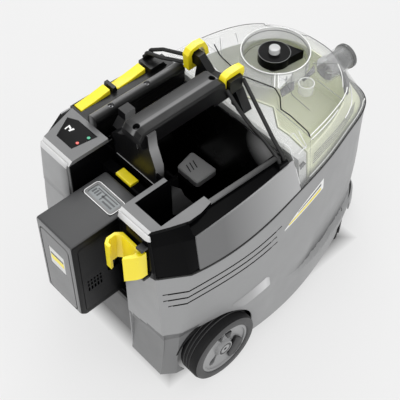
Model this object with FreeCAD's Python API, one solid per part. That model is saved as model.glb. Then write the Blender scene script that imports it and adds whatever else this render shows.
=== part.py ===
"""Battery spot extractor: a spray-extraction cleaner on four wheels, built from its separate pieces.

Frame: millimetres, +X towards the clear tank end, +Z up, origin on the floor under the middle of the
outer box. The near side is -Y and the far side is +Y.
"""
import FreeCAD, Part
import math
import os

V = FreeCAD.Vector

# ---- driving dimensions ------------------------------------------------------------------------------
WALL = 3.0                 # moulded wall thickness
GAP = 0.3                  # clearance between separate mouldings
FLOOR_EDGE_Z = 24.0        # lower edge of the outer shell
BELT_Z = 283.0             # parting line between the lower and upper body
DECK_Z = 372.0             # top of the rear pillars, console and clear lid
DECK_T = 6.5               # thickness of the top decks
SHOULDER_NEAR_Z = 350.0    # top edge of the near shoulder
REAR_X = -225.0            # rear face of the body

BAY_HALF = 54.0            # half width inside the battery bay
BAY_FRONT_X = -142.0       # front wall of the battery bay
BAY_FLOOR_Z = 160.0
BATTERY_HALF = 40.0
BATTERY_REAR_X = -298.0
BATTERY_FRONT_X = -172.0
BATTERY_Z = (164.0, 332.0)

BIN_REAR_X = -122.0        # inside faces of the storage bin
BIN_FRONT_X = 16.0
BIN_NEAR_Y = -118.0
BIN_FAR_Y = 78.0
BIN_FLOOR_Z = 153.0
BIN_RIM_Z = 358.0
POCKET = (-201.0, -116.0, -62.0, 250.0)   # rear x, near y, far y, floor z

TANK_EDGE = (41.0, 22.0)   # sloping rear edge of the clear end: x at the belt and x at the top
# plan of the lid's rear edge
LID_SEAM = ((92, 170), (88, 95), (78, 22), (96, -32), (71, -66), (72, -88), (62, -170))
WELL = (155.0, 24.0, 55.0)                # centre x, centre y, radius of the round well in the lid
FLOAT = (163.5, 34.0)                     # axis of the float and its housing
WELL_TOP_Z = 375.0

WHEEL_X = -134.0
WHEEL_R = 63.0
HUB_R = 47.0
WHEEL_Y = (139.0, 179.0)   # inner and outer face of a rear wheel, from the centre plane
AXLE_R = 6.0
ARCH_R = 68.5

CASTER = (207.0, 103.0)    # swivel axis of a front caster, x and distance from the centre plane
CASTER_R = 20.0
CASTER_TRAIL = 12.5
CASTER_TURN = 28.6         # degrees that each caster rests swivelled outward
CASTER_WELL_R = 37.0
BASE_Z = (48.0, 52.0)      # underbody plate

HANDLE_TOP_Z = 432.0
HANDLE_HALF = 20.0
HANDLE_UNDER_Z = 404.0
LEG_REAR_X = (-142.0, -127.0)
LEG_FRONT_X = (24.5, 37.5)
RAIL_Y = 90.0              # centre of the round rail beside the console
RAIL_R = 10.0
RAIL_Z = 380.0             # height of the rail's centre
RAIL_SCREWS_X = (-117.0, -49.0)
HANDLE_SCREWS_X = (-142.0, -2.0)
ROCKER_MID_X = (-119.5, -51.5)            # middle of the suction and spray rockers
ROCKER_AXIS_Z = 367.4
HOSE_PORT = (238.0, -34.0, 338.0)         # a point on the axis of the suction hose port
PORT_X = (208.0, 254.0, 260.0)            # inner end, back of the flange and outer end of the port
HOSE_BORE_R = 16.0
TURBINE = (-60.0, 20.0)    # centre of the suction turbine
STRAP_R = 3.0

# Plan sections, each: height, rear half width, side stations (x, half width) from the rear facet to
# the nose corner, and nose x.
BOTTOM = (24.0, 126.0, ((-205, 141), (-54, 164.5), (58, 158), (164, 130), (235, 104), (284, 72)), 298.0)
WAIST = (150.0, 134.0, ((-197, 150), (-60, 164.8), (55, 156), (155, 133), (226, 106), (269, 76)), 282.0)
BELT = (283.0, 126.0, ((-182, 154), (-80, 164.5), (41, 150), (121, 135), (193, 115), (253, 89)), 270.0)
TOP = (372.0, 117.0, ((-165, 147), (-75, 143), (30, 138), (110, 128), (176, 102), (211, 60)), 224.0)
REAR_BEVEL = ((-227, 362.5), (-227, 380), (-210, 380), (-215.5, 373.5))   # cut off the top rear edges
STATION_NORMALS = (105, 90, 84, 74, 62, 32)   # degrees from +X, outward at each station


# ---- shape helpers -----------------------------------------------------------------------------------
def box(x0, x1, y0, y1, z0, z1):
    return Part.makeBox(x1 - x0, y1 - y0, z1 - z0, V(x0, y0, z0))


def cyl(x, y, z, r, length, axis=(0, 0, 1)):
    return Part.makeCylinder(r, length, V(x, y, z), V(*axis))


def rod_y(x, z, r, y0, y1):
    return Part.makeCylinder(r, y1 - y0, V(x, y0, z), V(0, 1, 0))


def prism(points, direction):
    """Extrude a closed polygon of (x, y, z) corners along a direction."""
    wire = Part.makePolygon([V(*p) for p in points] + [V(*points[0])])
    return Part.Face(wire).extrude(V(*direction))


def prism_yz(points, x0, x1):
    return prism([(x0, y, z) for y, z in points], (x1 - x0, 0, 0))


def prism_xz(points, y0, y1):
    return prism([(x, y0, z) for x, z in points], (0, y1 - y0, 0))


def prism_xy(points, z0, z1):
    return prism([(x, y, z0) for x, y in points], (0, 0, z1 - z0))


def soft_box(x0, x1, y0, y1, z0, z1, radius, along="z"):
    """A box whose edges that run along one axis are rounded."""
    solid = box(x0, x1, y0, y1, z0, z1)
    pick = {"x": 0, "y": 1, "z": 2}[along]
    edges = []
    for edge in solid.Edges:
        run = edge.Vertexes[1].Point - edge.Vertexes[0].Point
        if abs(run[pick]) > 0.99 * run.Length:
            edges.append(edge)
    return solid.makeFillet(radius, edges)


def fuse(shapes):
    result = shapes[0]
    for shape in shapes[1:]:
        result = result.fuse(shape)
    return result.removeSplitter()


def group(shapes):
    return Part.makeCompound(shapes)


def save(name, shape):
    shape.exportStep("parts/%s.step" % name)


# ---- outer form --------------------------------------------------------------------------------------
def section_at(z):
    """The plan section at a height, in straight lines between the driving sections."""
    ladder = (BOTTOM, WAIST, BELT, TOP)
    low, high = ladder[0], ladder[1]
    for a, b in zip(ladder, ladder[1:]):
        if a[0] <= z:
            low, high = a, b
    t = (z - low[0]) / (high[0] - low[0])
    stations = []
    for (xa, ha), (xb, hb) in zip(low[2], high[2]):
        stations.append((xa + t * (xb - xa), ha + t * (hb - ha)))
    return (z, low[1] + t * (high[1] - low[1]), tuple(stations), low[3] + t * (high[3] - low[3]))


def plan_wire(section, inset=0.0, z=None):
    """Closed outline of the body at one height: flat rear, two facets, one smooth run round the nose."""
    height, rear_half, stations, nose_x = section
    z = height if z is None else z
    far = []
    for (x, half), degrees in zip(stations, STATION_NORMALS):
        angle = math.radians(degrees)
        far.append(V(x - inset * math.cos(angle), half - inset * math.sin(angle), z))
    near = [V(p.x, -p.y, z) for p in far]
    side = Part.BSplineCurve()
    side.interpolate(near + [V(nose_x - inset, 0, z)] + far[::-1])
    corner_far = V(REAR_X + inset, rear_half - 0.6 * inset, z)
    corner_near = V(REAR_X + inset, -rear_half + 0.6 * inset, z)
    edges = [Part.makeLine(corner_far, corner_near), Part.makeLine(corner_near, near[0]),
             side.toShape(), Part.makeLine(far[0], corner_far)]
    return Part.Wire(edges)


def form(sections, inset=0.0, ruled=False):
    return Part.makeLoft([plan_wire(s, inset) for s in sections], True, ruled)


def slab(section, inset, z0, z1):
    """A flat plate with the body's outline."""
    return Part.Face(plan_wire(section, inset, z0)).extrude(V(0, 0, z1 - z0))


def lower_ring():
    return form((BOTTOM, WAIST, BELT)).cut(form((BOTTOM, WAIST, BELT), WALL))


def upper_ring():
    return form((BELT, TOP)).cut(form((BELT, TOP), WALL))


# ---- shells ------------------------------------------------------------------------------------------
def side_grooves():
    """Three shallow grooves that run round the rear facet and along each side."""
    skin = form((BOTTOM, WAIST, BELT), -1).cut(form((BOTTOM, WAIST, BELT), 1.2))
    strips = []
    for z in (218.0, 232.0, 246.0):
        strips.append(box(-212, 24, -180, -100, z, z + 2))
        strips.append(box(-212, 24, 100, 180, z, z + 2))
    return skin.common(group(strips))


def outer_shell():
    lower = lower_ring().cut(box(-240, 300, -200, 200, BELT_Z - 1.8, BELT_Z + 5))
    post_top = DECK_Z - DECK_T - GAP
    posts = upper_ring().common(box(REAR_X - 1, REAR_X + WALL, -180, 180, BELT_Z - 0.1, post_top))
    link = lower_ring().common(box(REAR_X - 1, REAR_X + WALL, -180, 180, BELT_Z - 3, BELT_Z + 1))
    cheeks = []
    for side in (-1, 1):
        y0, y1 = sorted((side * (BAY_HALF + 3), side * (BAY_HALF + 6)))
        cheeks.append(box(REAR_X + 0.5, REAR_X + 21.2, y0, y1, FLOOR_EDGE_Z + 1, post_top))
    shell = fuse([lower, link, posts] + cheeks)
    cuts = [box(REAR_X - 5, REAR_X + 10, -BAY_HALF - 3, BAY_HALF + 3, 0, DECK_Z + 5)]
    cuts.append(prism_xz(REAR_BEVEL, -180, 180))
    for side in (-1, 1):
        y0, y1 = sorted((side * 118, side * 180))
        cuts.append(rod_y(WHEEL_X, WHEEL_R, ARCH_R, y0, y1))
        cuts.append(cyl(CASTER[0], side * CASTER[1], 0, CASTER_WELL_R, BASE_Z[0] - 0.5))
    shell = shell.cut(group(cuts))
    return shell.cut(side_grooves())


def belt_seal():
    ring = slab(BELT, -0.6, BELT_Z - 1.5, BELT_Z + 1.5).cut(slab(BELT, 2.6, BELT_Z - 2, BELT_Z + 2))
    return ring.cut(box(-240, REAR_X + WALL + GAP, -180, 180, BELT_Z - 3, BELT_Z + 3))


def tank_side(offset):
    """Everything in front of the sloping rear edge of the clear end."""
    low, high = TANK_EDGE
    return prism_xz([(low + offset, BELT_Z), (high + offset, DECK_Z), (high + offset, 500), (400, 500),
                     (400, BELT_Z)], -200, 200)


def shoulder(side, top_z):
    y0, y1 = sorted((side * 60, side * 180))
    ring = upper_ring().common(box(-168, 100, y0, y1, BELT_Z + 1.8, top_z))
    return ring.cut(tank_side(-GAP))


def corner_panel(side):
    y0, y1 = sorted((side * 101, side * 180))
    top = DECK_Z - DECK_T - GAP
    cover = upper_ring().common(box(REAR_X + WALL + GAP, -168.3, y0, y1, BELT_Z + 1.8, top))
    inner = [(-226, side * 112), (-222, side * 114), (-168, side * 130), (-168, side * 100),
             (-226, side * 100)]
    ledge = form((BELT, TOP)).common(box(REAR_X + WALL + GAP, -168.3, y0, y1, top - WALL, top))
    return fuse([cover, ledge.cut(prism_xy(inner, 300, 400))])


def corner_panel_sloped():
    """Near cover: it leans in from the belt facet to the narrower edge of the deck above it."""
    x0, x1 = REAR_X + WALL + GAP, -168.3
    levels = ((BELT_Z + 1.8, 127.0, (-183, 153.2), 155.2), (345.0, 119.0, (-187, 137.5), 146.8),
              (DECK_Z - DECK_T - GAP, 112.6, (-191, 126), 134.6))
    loops = []
    for z, rear, (mid_x, mid_y), front in levels:
        outer = [(x0, -rear), (mid_x, -mid_y), (x1, -front)]
        inner = [(x1, WALL - front), (mid_x + 1, WALL - mid_y), (x0, WALL - rear)]
        loop = [V(x, y, z) for x, y in outer + inner]
        loops.append(Part.makePolygon(loop + loop[:1]))
    return Part.makeLoft(loops, True, True)


def chassis_base():
    plate = slab(section_at(54.0), WALL + GAP, *BASE_Z)
    solids = [plate]
    for side in (-1, 1):
        y0, y1 = sorted((side * 119.5, side * 150))
        arch = rod_y(WHEEL_X, WHEEL_R, ARCH_R + 2.5, y0, y1).cut(rod_y(WHEEL_X, WHEEL_R, ARCH_R, y0, y1))
        w0, w1 = sorted((side * 119.5, side * 122.5))
        disc = rod_y(WHEEL_X, WHEEL_R, ARCH_R + 2.5, w0, w1)
        well = arch.fuse(disc).common(box(-230, -50, -160, 160, BASE_Z[0], 150))
        solids.append(well.common(form((BOTTOM, WAIST, BELT), WALL + GAP)))
        solids.append(cyl(CASTER[0], side * CASTER[1], BASE_Z[0], 8, 10))
    rib = box(-215, 190, -2, 2, BASE_Z[1] - 1, BASE_Z[1] + 4)
    base = fuse(solids + [rib])
    cuts = []
    for side in (-1, 1):
        y0, y1 = sorted((side * 122.5, side * 180))
        cuts.append(rod_y(WHEEL_X, WHEEL_R, ARCH_R, y0, y1))
        cuts.append(cyl(CASTER[0], side * CASTER[1], BASE_Z[0] - 1, 5.05, 8))
    cuts.append(rod_y(WHEEL_X, WHEEL_R, AXLE_R + 0.05, -140, 140))
    cuts.append(box(-240, REAR_X + 25, -BAY_HALF - 7, BAY_HALF + 7, 0, 80))
    return base.cut(group(cuts))


def lower_panel():
    """The recessed dark panel between the rear pillars, under the battery."""
    face = box(REAR_X + 17, REAR_X + 20, -BAY_HALF - 2.6, BAY_HALF + 2.6, FLOOR_EDGE_Z + 2, 128)
    top = BAY_FLOOR_Z - 3 - GAP
    lip = prism_xz([(REAR_X + 17, 128), (REAR_X + 2, 146), (REAR_X + 2, top), (REAR_X + 20, top),
                    (REAR_X + 20, 128)], -BAY_HALF - 2.6, BAY_HALF + 2.6)
    return fuse([face, lip])


# ---- decks, console and bin --------------------------------------------------------------------------
def rear_deck():
    """Top frames of the two rear pillars: round the pocket and round the control panel."""
    plate = form((BELT, TOP)).common(box(-240, -100, -180, 180, DECK_Z - DECK_T, DECK_Z))
    edge = [(-226, 110.5), (-193, 125), (-167, 134.6), (-146, 134.6), (-124, 130)]
    near_outline = [(x, -y) for x, y in edge] + [(-124, POCKET[2]), (-142.3, POCKET[2]),
                                                 (-142.3, -BAY_HALF - 0.2), (-226, -BAY_HALF - 0.2)]
    far_outline = [(-226, 117.2), (-152.3, 138.2), (-152.3, BAY_HALF + 0.2), (-226, BAY_HALF + 0.2)]
    near = plate.common(prism_xy(near_outline, 300, 400))
    near = near.cut(box(POCKET[0], -100, POCKET[1], POCKET[2] - 0.01, 300, 400))
    far = plate.common(prism_xy(far_outline, 300, 400))
    far = far.cut(prism_xy(panel_outline(0.0), DECK_Z - 4, DECK_Z + 1))
    solids = []
    bevel = prism_xz(REAR_BEVEL, -180, 180)
    for part in (near, far):
        solids.append(part.cut(bevel))
    return group([s for part in solids for s in part.Solids])


def panel_outline(inset):
    return [(-203 + inset, 74 + inset), (-161 - inset, 67 + inset), (-161 - inset, 112 - inset),
            (-169, 127.5 - inset), (-203 + inset, 109 - inset)]


def panel_glass():
    return prism_xy(panel_outline(GAP), DECK_Z - 3.8, DECK_Z - 0.6)


def status_leds():
    """Two small lenses that stand on the panel glass."""
    return group([cyl(-190, 77, DECK_Z - 0.6, 2.4, 1.2), cyl(-172, 74, DECK_Z - 0.6, 2.4, 1.2)])


def storage_bin():
    floor_z = BIN_FLOOR_Z - WALL
    shell = box(BIN_REAR_X - WALL, BIN_FRONT_X + WALL, BIN_NEAR_Y - WALL, BIN_FAR_Y + WALL, floor_z,
                BIN_RIM_Z)
    pocket = box(POCKET[0] - 2.5, BIN_REAR_X - 1, POCKET[1] - WALL, POCKET[2] + 2.5, POCKET[3] - WALL,
                 DECK_Z - DECK_T - GAP)
    slope = [(BIN_NEAR_Y - 1, BIN_RIM_Z), (BIN_NEAR_Y - 1, BIN_RIM_Z - 4), (-150, 343), (-150, 347)]
    flange = prism_yz(slope, -167.7, BIN_FRONT_X + WALL)
    flange = flange.common(form((BELT, TOP), WALL + GAP))
    solid = fuse([shell, pocket, flange])
    cuts = [box(BIN_REAR_X, BIN_FRONT_X, BIN_NEAR_Y, BIN_FAR_Y, BIN_FLOOR_Z, 400)]
    cuts.append(box(POCKET[0], BIN_REAR_X + 1, POCKET[1], POCKET[2], POCKET[3], 400))
    cuts.append(box(LEG_REAR_X[0] - 2, BIN_REAR_X + 1, -37, 62, 337.7, 400))
    return solid.cut(group(cuts))


def knob_pedestal():
    body = soft_box(-36, 8, 6, 48, BIN_FLOOR_Z, 214, 6)
    return body.cut(soft_box(-29, 1, 13, 41, 202, 215, 4))


def bin_knob():
    """Trapezoidal filter cap with a stem that sits in the pedestal."""
    head = prism_xy([(-31, 0), (-31, 48), (9, 57), (12, 0)], 214.4, 226)
    vertical = [e for e in head.Edges if abs(e.Vertexes[0].Z - e.Vertexes[1].Z) > 5]
    head = head.makeFillet(5, vertical)
    top = [e for e in head.Edges if min(v.Z for v in e.Vertexes) > 225.9]
    head = head.makeChamfer(2.0, top)
    stem = soft_box(-28.7, 0.7, 13.3, 40.7, 203, 215, 3.7)
    return fuse([head, stem])


def switch_console():
    """Glossy black carrier of the two rocker switches, from the grey deck to the front."""
    x0, x1 = -152, 60
    plate = form((BELT, TOP), GAP).common(box(x0, x1, 102, 180, 352, DECK_Z))
    plate = plate.cut(tank_side(-GAP)).cut(box(x0 - 1, x1 + 1, 105, 146, 340, 368))
    plate = plate.common(box(x0, x1, 102, 143, 340, 400))
    wells = [box(-148.5, -90.5, 122, 141.5, 340, 400), box(-80.5, -22.5, 122, 141.5, 340, 400)]
    divider = prism_xz([(-90, DECK_Z - 1), (-88, DECK_Z + 9), (-82, DECK_Z + 9), (-81, DECK_Z - 1)], 121, 142)
    end = prism_xz([(-22, DECK_Z - 1), (-21, DECK_Z + 10), (4, DECK_Z + 10), (12, DECK_Z - 1)], 114, 142)
    solids = [plate.cut(group(wells)), divider, end]
    for mid in ROCKER_MID_X:
        for y0, y1 in ((119.4, 122.0), (141.4, 143.0)):
            solids.append(box(mid - 4.5, mid + 4.5, y0, y1, ROCKER_AXIS_Z - 2.1, DECK_Z - 2))
    console = fuse(solids)
    for mid in ROCKER_MID_X:
        console = console.cut(rod_y(mid, ROCKER_AXIS_Z, 1.65, 118, 146))
    return console


def rocker(mid):
    """A ramp-shaped rocker: low at the rear, high at the front, on a cross axle."""
    x0, x1 = mid - 28, mid + 28
    wedge = prism_xz([(x0 + 1, 366), (x0 + 1, 373), (mid, 375.5), (x1 - 1, 380), (x1 - 1, 371.5),
                      (mid + 3, 366)], 123, 140.5)
    long_edges = [e for e in wedge.Edges if min(v.Z for v in e.Vertexes) > 372.5
                  and abs(e.Vertexes[0].Y - e.Vertexes[1].Y) < 0.1]
    wedge = wedge.makeFillet(1.5, long_edges)
    wedge = wedge.cut(box(x0 + 4, x1 - 4, 125.5, 138, 365, 370))
    barrel = rod_y(mid, ROCKER_AXIS_Z, 3.4, 123, 137)
    axle = rod_y(mid, ROCKER_AXIS_Z, 1.6, 119.8, 142.7)
    return fuse([wedge, barrel, axle])


def console_rail():
    """Round-topped rail between the console and the deep gap beside the handle."""
    web = box(-152, 18, RAIL_Y - 8.6, RAIL_Y + RAIL_R, 350, RAIL_Z)
    bar = cyl(-152, RAIL_Y, RAIL_Z, RAIL_R, 170, (1, 0, 0))
    rail = fuse([web, bar])
    for x in RAIL_SCREWS_X:
        rail = rail.cut(cyl(x, RAIL_Y, RAIL_Z + 4, 4.6, 10))
        rail = rail.cut(cyl(x, RAIL_Y, RAIL_Z - 12, 1.8, 20))
    return rail


def handle_beam():
    profile = [(-147, HANDLE_UNDER_Z), (-152, 412), (-152, 423), (-147, 430), (-138, HANDLE_TOP_Z),
               (0, HANDLE_TOP_Z), (6, 428), (6, HANDLE_UNDER_Z)]
    beam = prism_xz(profile, -HANDLE_HALF, HANDLE_HALF)
    crown = [e for e in beam.Edges if abs(e.Vertexes[0].Y - e.Vertexes[1].Y) < 0.1
             and min(v.Z for v in e.Vertexes) > 422]
    beam = beam.makeFillet(4, crown)
    for x in HANDLE_SCREWS_X:
        beam = beam.cut(cyl(x, 0, 422, 5.2, 20))
        beam = beam.cut(cyl(x, 0, 400, 1.8, 40))
    return beam.cut(box(-118, -26, -13, 13, 400, 424))


def handle_grip():
    """Soft insert that fills the hollow underside of the beam."""
    insert = box(-117.7, -26.3, -12.7, 12.7, 401, 420)
    bottom = [e for e in insert.Edges if max(v.Z for v in e.Vertexes) < 401.1]
    return insert.makeFillet(6, bottom)


def handle_rear_leg():
    """Stands on the wall between the battery bay and the bin, with a lug that leans forward."""
    x0, x1 = LEG_REAR_X
    top = HANDLE_UNDER_Z - 0.2
    ear_y = HANDLE_HALF + GAP
    arc = Part.Arc(V(x0, 22, top), V(x0, 30, 392), V(x0, 46, 384)).toShape()
    corners = [(46, 384), (60, 372.5), (60, 338), (-36.7, 338), (-36.7, 372.5), (-ear_y - 5, top),
               (-ear_y - 3, 429), (-ear_y, 429), (-ear_y, top), (22, top)]
    edges = [arc]
    for (ya, za), (yb, zb) in zip(corners, corners[1:]):
        edges.append(Part.makeLine(V(x0, ya, za), V(x0, yb, zb)))
    plate = Part.Face(Part.Wire(edges)).extrude(V(x1 - x0, 0, 0))
    lean = [(x0, 338), (x0, 360), (-120, 386), (-119, 399), (-101, 399), (-101, 372), (x1, 338)]
    lug = prism_xz(lean, 54, 70)
    leg = fuse([plate, lug.cut(box(x0 - 1, x1 + 10, 60, 72, 330, 372.5))])
    return leg.cut(cyl(HANDLE_SCREWS_X[0], 0, 385, 1.8, 40))


def handle_front_leg():
    """Stands on the clear rear cover: a slanted near post, an arch under the beam, and a far bar."""
    x0, x1 = LEG_FRONT_X
    foot_z = DECK_Z + GAP
    near = [(2, 404.5), (-21, 404.5), (-39, 376), (-41, foot_z), (-14, foot_z), (-8, 398)]
    post = prism_yz(near, x0, x1 + 2.5)
    block = box(13, x1, -22, 2, 403, 427.5)
    arm = box(-9, x0 + 1, -13, 13, 388, HANDLE_UNDER_Z - 0.2)
    far = [(-10, 388), (-10, 404), (14, 404), (34, 398), (57, 417), (82, 417), (82, 397), (62, 397),
           (66, foot_z), (44, foot_z), (40, 386), (10, 388)]
    arch = prism_yz(far, x0, x1)
    leg = fuse([post, block, arm, arch])
    return leg.cut(cyl(HANDLE_SCREWS_X[1], 0, 385, 1.8, 40))


def screw(x, y, seat_z, length):
    head = cyl(x, y, seat_z, 4.2, 2.6).cut(cyl(x, y, seat_z + 1.2, 1.7, 2))
    return head.fuse(cyl(x, y, seat_z - length, 1.7, length))


def housing_screws():
    screws = [screw(x, 0, 422, 32) for x in HANDLE_SCREWS_X]
    for x in RAIL_SCREWS_X:
        screws.append(screw(x, RAIL_Y, RAIL_Z + 4, 12))
    return group(screws)


# ---- battery -----------------------------------------------------------------------------------------
def battery_bay():
    outer = box(REAR_X + 3.3, BAY_FRONT_X + 2.7, -BAY_HALF - 2.7, BAY_HALF + 2.7, BAY_FLOOR_Z - 3,
                DECK_Z - DECK_T - GAP)
    bay = outer.cut(box(-240, BAY_FRONT_X, -BAY_HALF, BAY_HALF, BAY_FLOOR_Z, 400))
    bay = bay.cut(box(BAY_FRONT_X - 1, BAY_FRONT_X + 5, -37, BAY_HALF + 5, 337.7, 400))
    rails = []
    for z0, z1 in ((BAY_FLOOR_Z - 1, 163.7), (236, 244)):
        for side in (-1, 1):
            y0, y1 = sorted((side * (BATTERY_HALF + 0.8), side * (BAY_HALF + 1)))
            if z0 < 200:
                y0, y1 = sorted((side * 20, side * (BAY_HALF + 1)))
            rails.append(box(REAR_X + 5, BAY_FRONT_X + 1, y0, y1, z0, z1))
    return fuse([bay] + rails)


def contact_block():
    block = box(-168, BAY_FRONT_X - GAP, -19.5, 19.5, 160.3, 222)
    fins = []
    for y in (-12, -4, 4, 12):
        fins.append(box(-170.5, -167.5, y - 1, y + 1, 176, 212))
    return fuse([block] + fins)


def latch_bar():
    bar = soft_box(-167, -149, -BAY_HALF + GAP, BAY_HALF - GAP, 312, 330, 3, "y")
    return bar.cut(box(-166, -150, -8, 26, 318, 340))


def release_button():
    cap = box(-165.7, -150.3, -7.7, 25.7, 321.5, 334)
    top = [e for e in cap.Edges if min(v.Z for v in e.Vertexes) > 333.9]
    return cap.makeFillet(1.8, top)


def battery_case():
    z0, z1 = BATTERY_Z
    case = box(BATTERY_REAR_X, BATTERY_FRONT_X, -BATTERY_HALF, BATTERY_HALF, z0, z1)
    case = case.cut(prism_xz([(BATTERY_REAR_X - 1, z0 - 1), (BATTERY_REAR_X - 1, z0 + 9),
                              (BATTERY_REAR_X + 9, z0 - 1)], -60, 60))
    upright = [e for e in case.Edges if abs(e.Vertexes[0].Z - e.Vertexes[1].Z) > 20
               and e.Vertexes[0].X < BATTERY_REAR_X + 1 and e.Vertexes[1].X < BATTERY_REAR_X + 1]
    case = case.makeFillet(5, upright)
    case = case.cut(box(-222.3, -191.7, -31.3, 31.3, z1 - 3, z1 + 5))
    case = case.cut(box(BATTERY_FRONT_X - 3, BATTERY_FRONT_X + 1, -16, 16, 174, 214))
    return case.cut(box(BATTERY_REAR_X - 1, BATTERY_REAR_X + 0.8, -17.3, 17.3, 250 - 0.3, 288.3))


def lcd_bezel():
    z = BATTERY_Z[1]
    frame = soft_box(-222, -192, -31, 31, z - 3, z + 1.2, 6)
    return frame.cut(soft_box(-217, -197, -26, 26, z - 1.2, z + 5, 3))


def lcd_display():
    z = BATTERY_Z[1]
    return soft_box(-216.7, -197.3, -25.7, 25.7, z - 1.1, z, 2.7)


def battery_label():
    return box(BATTERY_REAR_X + 0.2, BATTERY_REAR_X + 0.8, -17, 17, 250, 288)


# ---- hooks and straps --------------------------------------------------------------------------------
HOOK_PIN = (-231.0, -112.0)
HOOK_Z = (292.0, 342.0)


def rear_hook():
    """C-shaped cable hook: constant section over its height, open to the rear, on a vertical pin."""
    z0, z1 = HOOK_Z
    x, y = HOOK_PIN
    outer = [(x - 8, y - 6), (x + 1, y - 6), (x + 1, y + 42), (x - 8, y + 50), (x - 22, y + 50),
             (x - 30, y + 44), (x - 30, y + 34)]
    inner = [(x - 25, y + 36), (x - 25, y + 41), (x - 20, y + 45), (x - 10, y + 45), (x - 5, y + 39),
             (x - 5, y + 4), (x - 14, y + 4), (x - 26, y + 10), (x - 30, y + 7), (x - 16, y - 3)]
    hook = prism_xy(outer + inner, z0, z1)
    return hook.cut(cyl(x - 2, y - 1, z0 - 1, 2.56, z1 - z0 + 2))


def hook_pin():
    x, y = HOOK_PIN
    pin = cyl(x - 2, y - 1, HOOK_Z[0] - 9, 2.5, HOOK_Z[1] - HOOK_Z[0] + 18)
    brackets = []
    for z in (HOOK_Z[0] - 9, HOOK_Z[1] + 5):
        brackets.append(box(x - 7, REAR_X - GAP, y - 6, y + 6, z, z + 4))
    return fuse([pin] + brackets)


def strap_hook_near():
    """Saddle-shaped end of the near strap, hooked over the block in front of the handle."""
    outer = [(6.4, 413), (6.4, 427), (10, 433.5), (18, 436.5), (34, 437), (46, 434.5), (47, 426), (43, 413)]
    inner = [(38.2, 414), (38.5, 424), (38.2, 428), (12, 428), (11.8, 424), (11.6, 413)]
    return prism_xz(outer + inner, -16, -4)


def strap_hook_far():
    """C-shaped end of the far strap, hooked round the bar of the front leg."""
    outer = [(15, 388), (13, 417), (19, 425), (33, 428), (47, 426), (53, 414), (56, 399)]
    inner = [(49, 398), (46, 411), (42, 419.5), (25, 419.5), (21, 413), (23, 394), (36, 394), (36, 388)]
    return prism_xz(outer + inner, 68, 80)


def strap_anchors():
    near = prism_yz([(-140, 350.7), (-140, 357), (-137.6, 358.5), (-130.6, 358.5), (-129, 357.3),
                     (-129, 354.6)], -1, 16)
    far = soft_box(-13, 3, 134, 142.5, 382.3, 388, 2, "x")
    return group([near, far])


def path_wire(points, radius):
    """Straight runs joined by tangent arcs."""
    pts = [V(*p) for p in points]
    edges = []
    start = pts[0]
    for before, corner, after in zip(pts, pts[1:], pts[2:]):
        a = (before - corner).normalize()
        b = (after - corner).normalize()
        half = math.acos(max(-1.0, min(1.0, a.dot(b)))) / 2
        trim = radius / math.tan(half)
        p, q = corner + a * trim, corner + b * trim
        middle = corner + (a + b).normalize() * (radius / math.sin(half) - radius)
        edges.append(Part.makeLine(start, p))
        edges.append(Part.Arc(p, middle, q).toShape())
        start = q
    edges.append(Part.makeLine(start, pts[-1]))
    return Part.Wire(edges)


def cord(points, radius, bend):
    wire = path_wire(points, bend)
    first = wire.Edges[0]
    tangent = first.tangentAt(first.FirstParameter)
    ring = Part.Wire(Part.makeCircle(radius, V(*points[0]), tangent))
    return wire.makePipeShell([ring], True, True)


NEAR_TAUT = [(12, -134, 358.6), (12, -134, 364), (18, -106, 375.8), (43, -17.6, 414)]
NEAR_SLACK = [(3, -134, 358.6), (3, -134, 364), (10, -98, 370), (14, -64, 374), (13, -42, 388),
              (9.4, -18.4, 414)]
FAR_TAUT = [(-1, 138, 388.1), (-1, 138, 393), (8, 118, 402), (18, 81.5, 410)]
FAR_SLACK = [(-9, 138, 388.1), (-9, 138, 393.6), (0, 112, 394.2), (19, 81.7, 394.4)]


# ---- tank end ----------------------------------------------------------------------------------------
LID_SKIN = 2.6


def lid_form(inset):
    """Outer form of the clear end: belt section, shoulder, and a smaller crown."""
    low = section_at(BELT_Z + 1.8)
    shoulder_z = 362.0
    sections = [low, section_at(shoulder_z)]
    body = Part.makeLoft([plan_wire(sections[0], inset), plan_wire(sections[1], inset)], True, True)
    crown = Part.makeLoft([plan_wire(sections[1], inset), plan_wire(section_at(DECK_Z), inset + 7)], True,
                          True)
    return body.fuse(crown).removeSplitter()


def lid_cavity():
    body = Part.makeLoft([plan_wire(section_at(BELT_Z), LID_SKIN), plan_wire(section_at(361.0), LID_SKIN)],
                         True, True)
    crown = Part.makeLoft([plan_wire(section_at(361.0), LID_SKIN),
                           plan_wire(section_at(DECK_Z), LID_SKIN + 7.5, DECK_Z - LID_SKIN)], True, True)
    return body.fuse(crown)


def clear_end():
    shell = lid_form(0.0).common(tank_side(0.0))
    return shell.cut(lid_cavity().common(tank_side(LID_SKIN)))


def seam_side(offset):
    """Everything in front of the lid's rear edge, which steps round the handle's foot and the well."""
    edge = [(x + offset, y) for x, y in LID_SEAM]
    return prism_xy(edge + [(400, -170), (400, 170)], 200, 500)


def rear_cover(end):
    return end.cut(seam_side(-GAP))


def clear_lid(end):
    lid = end.common(seam_side(0.0))
    x, y, r = WELL
    turret = cyl(x, y, 340, r, WELL_TOP_Z - 340).cut(cyl(x, y, 340 + LID_SKIN, r - LID_SKIN, 60))
    port_x, port_y, port_z = HOSE_PORT
    boss = cyl(204, port_y, port_z, HOSE_BORE_R + 4.2, PORT_X[1] - GAP - 204, (1, 0, 0))
    lid = lid.cut(cyl(x, y, 300, r - 0.5, 100))
    lid = lid.fuse(turret.common(form((BELT, (DECK_Z + 20,) + TOP[1:])))).fuse(boss)
    lid = lid.cut(cyl(port_x - 60, port_y, port_z, HOSE_BORE_R + 1.6, 90, (1, 0, 0)))
    return lid.cut(cyl(FLOAT[0], FLOAT[1], 330, 9.05, 30))


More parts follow.
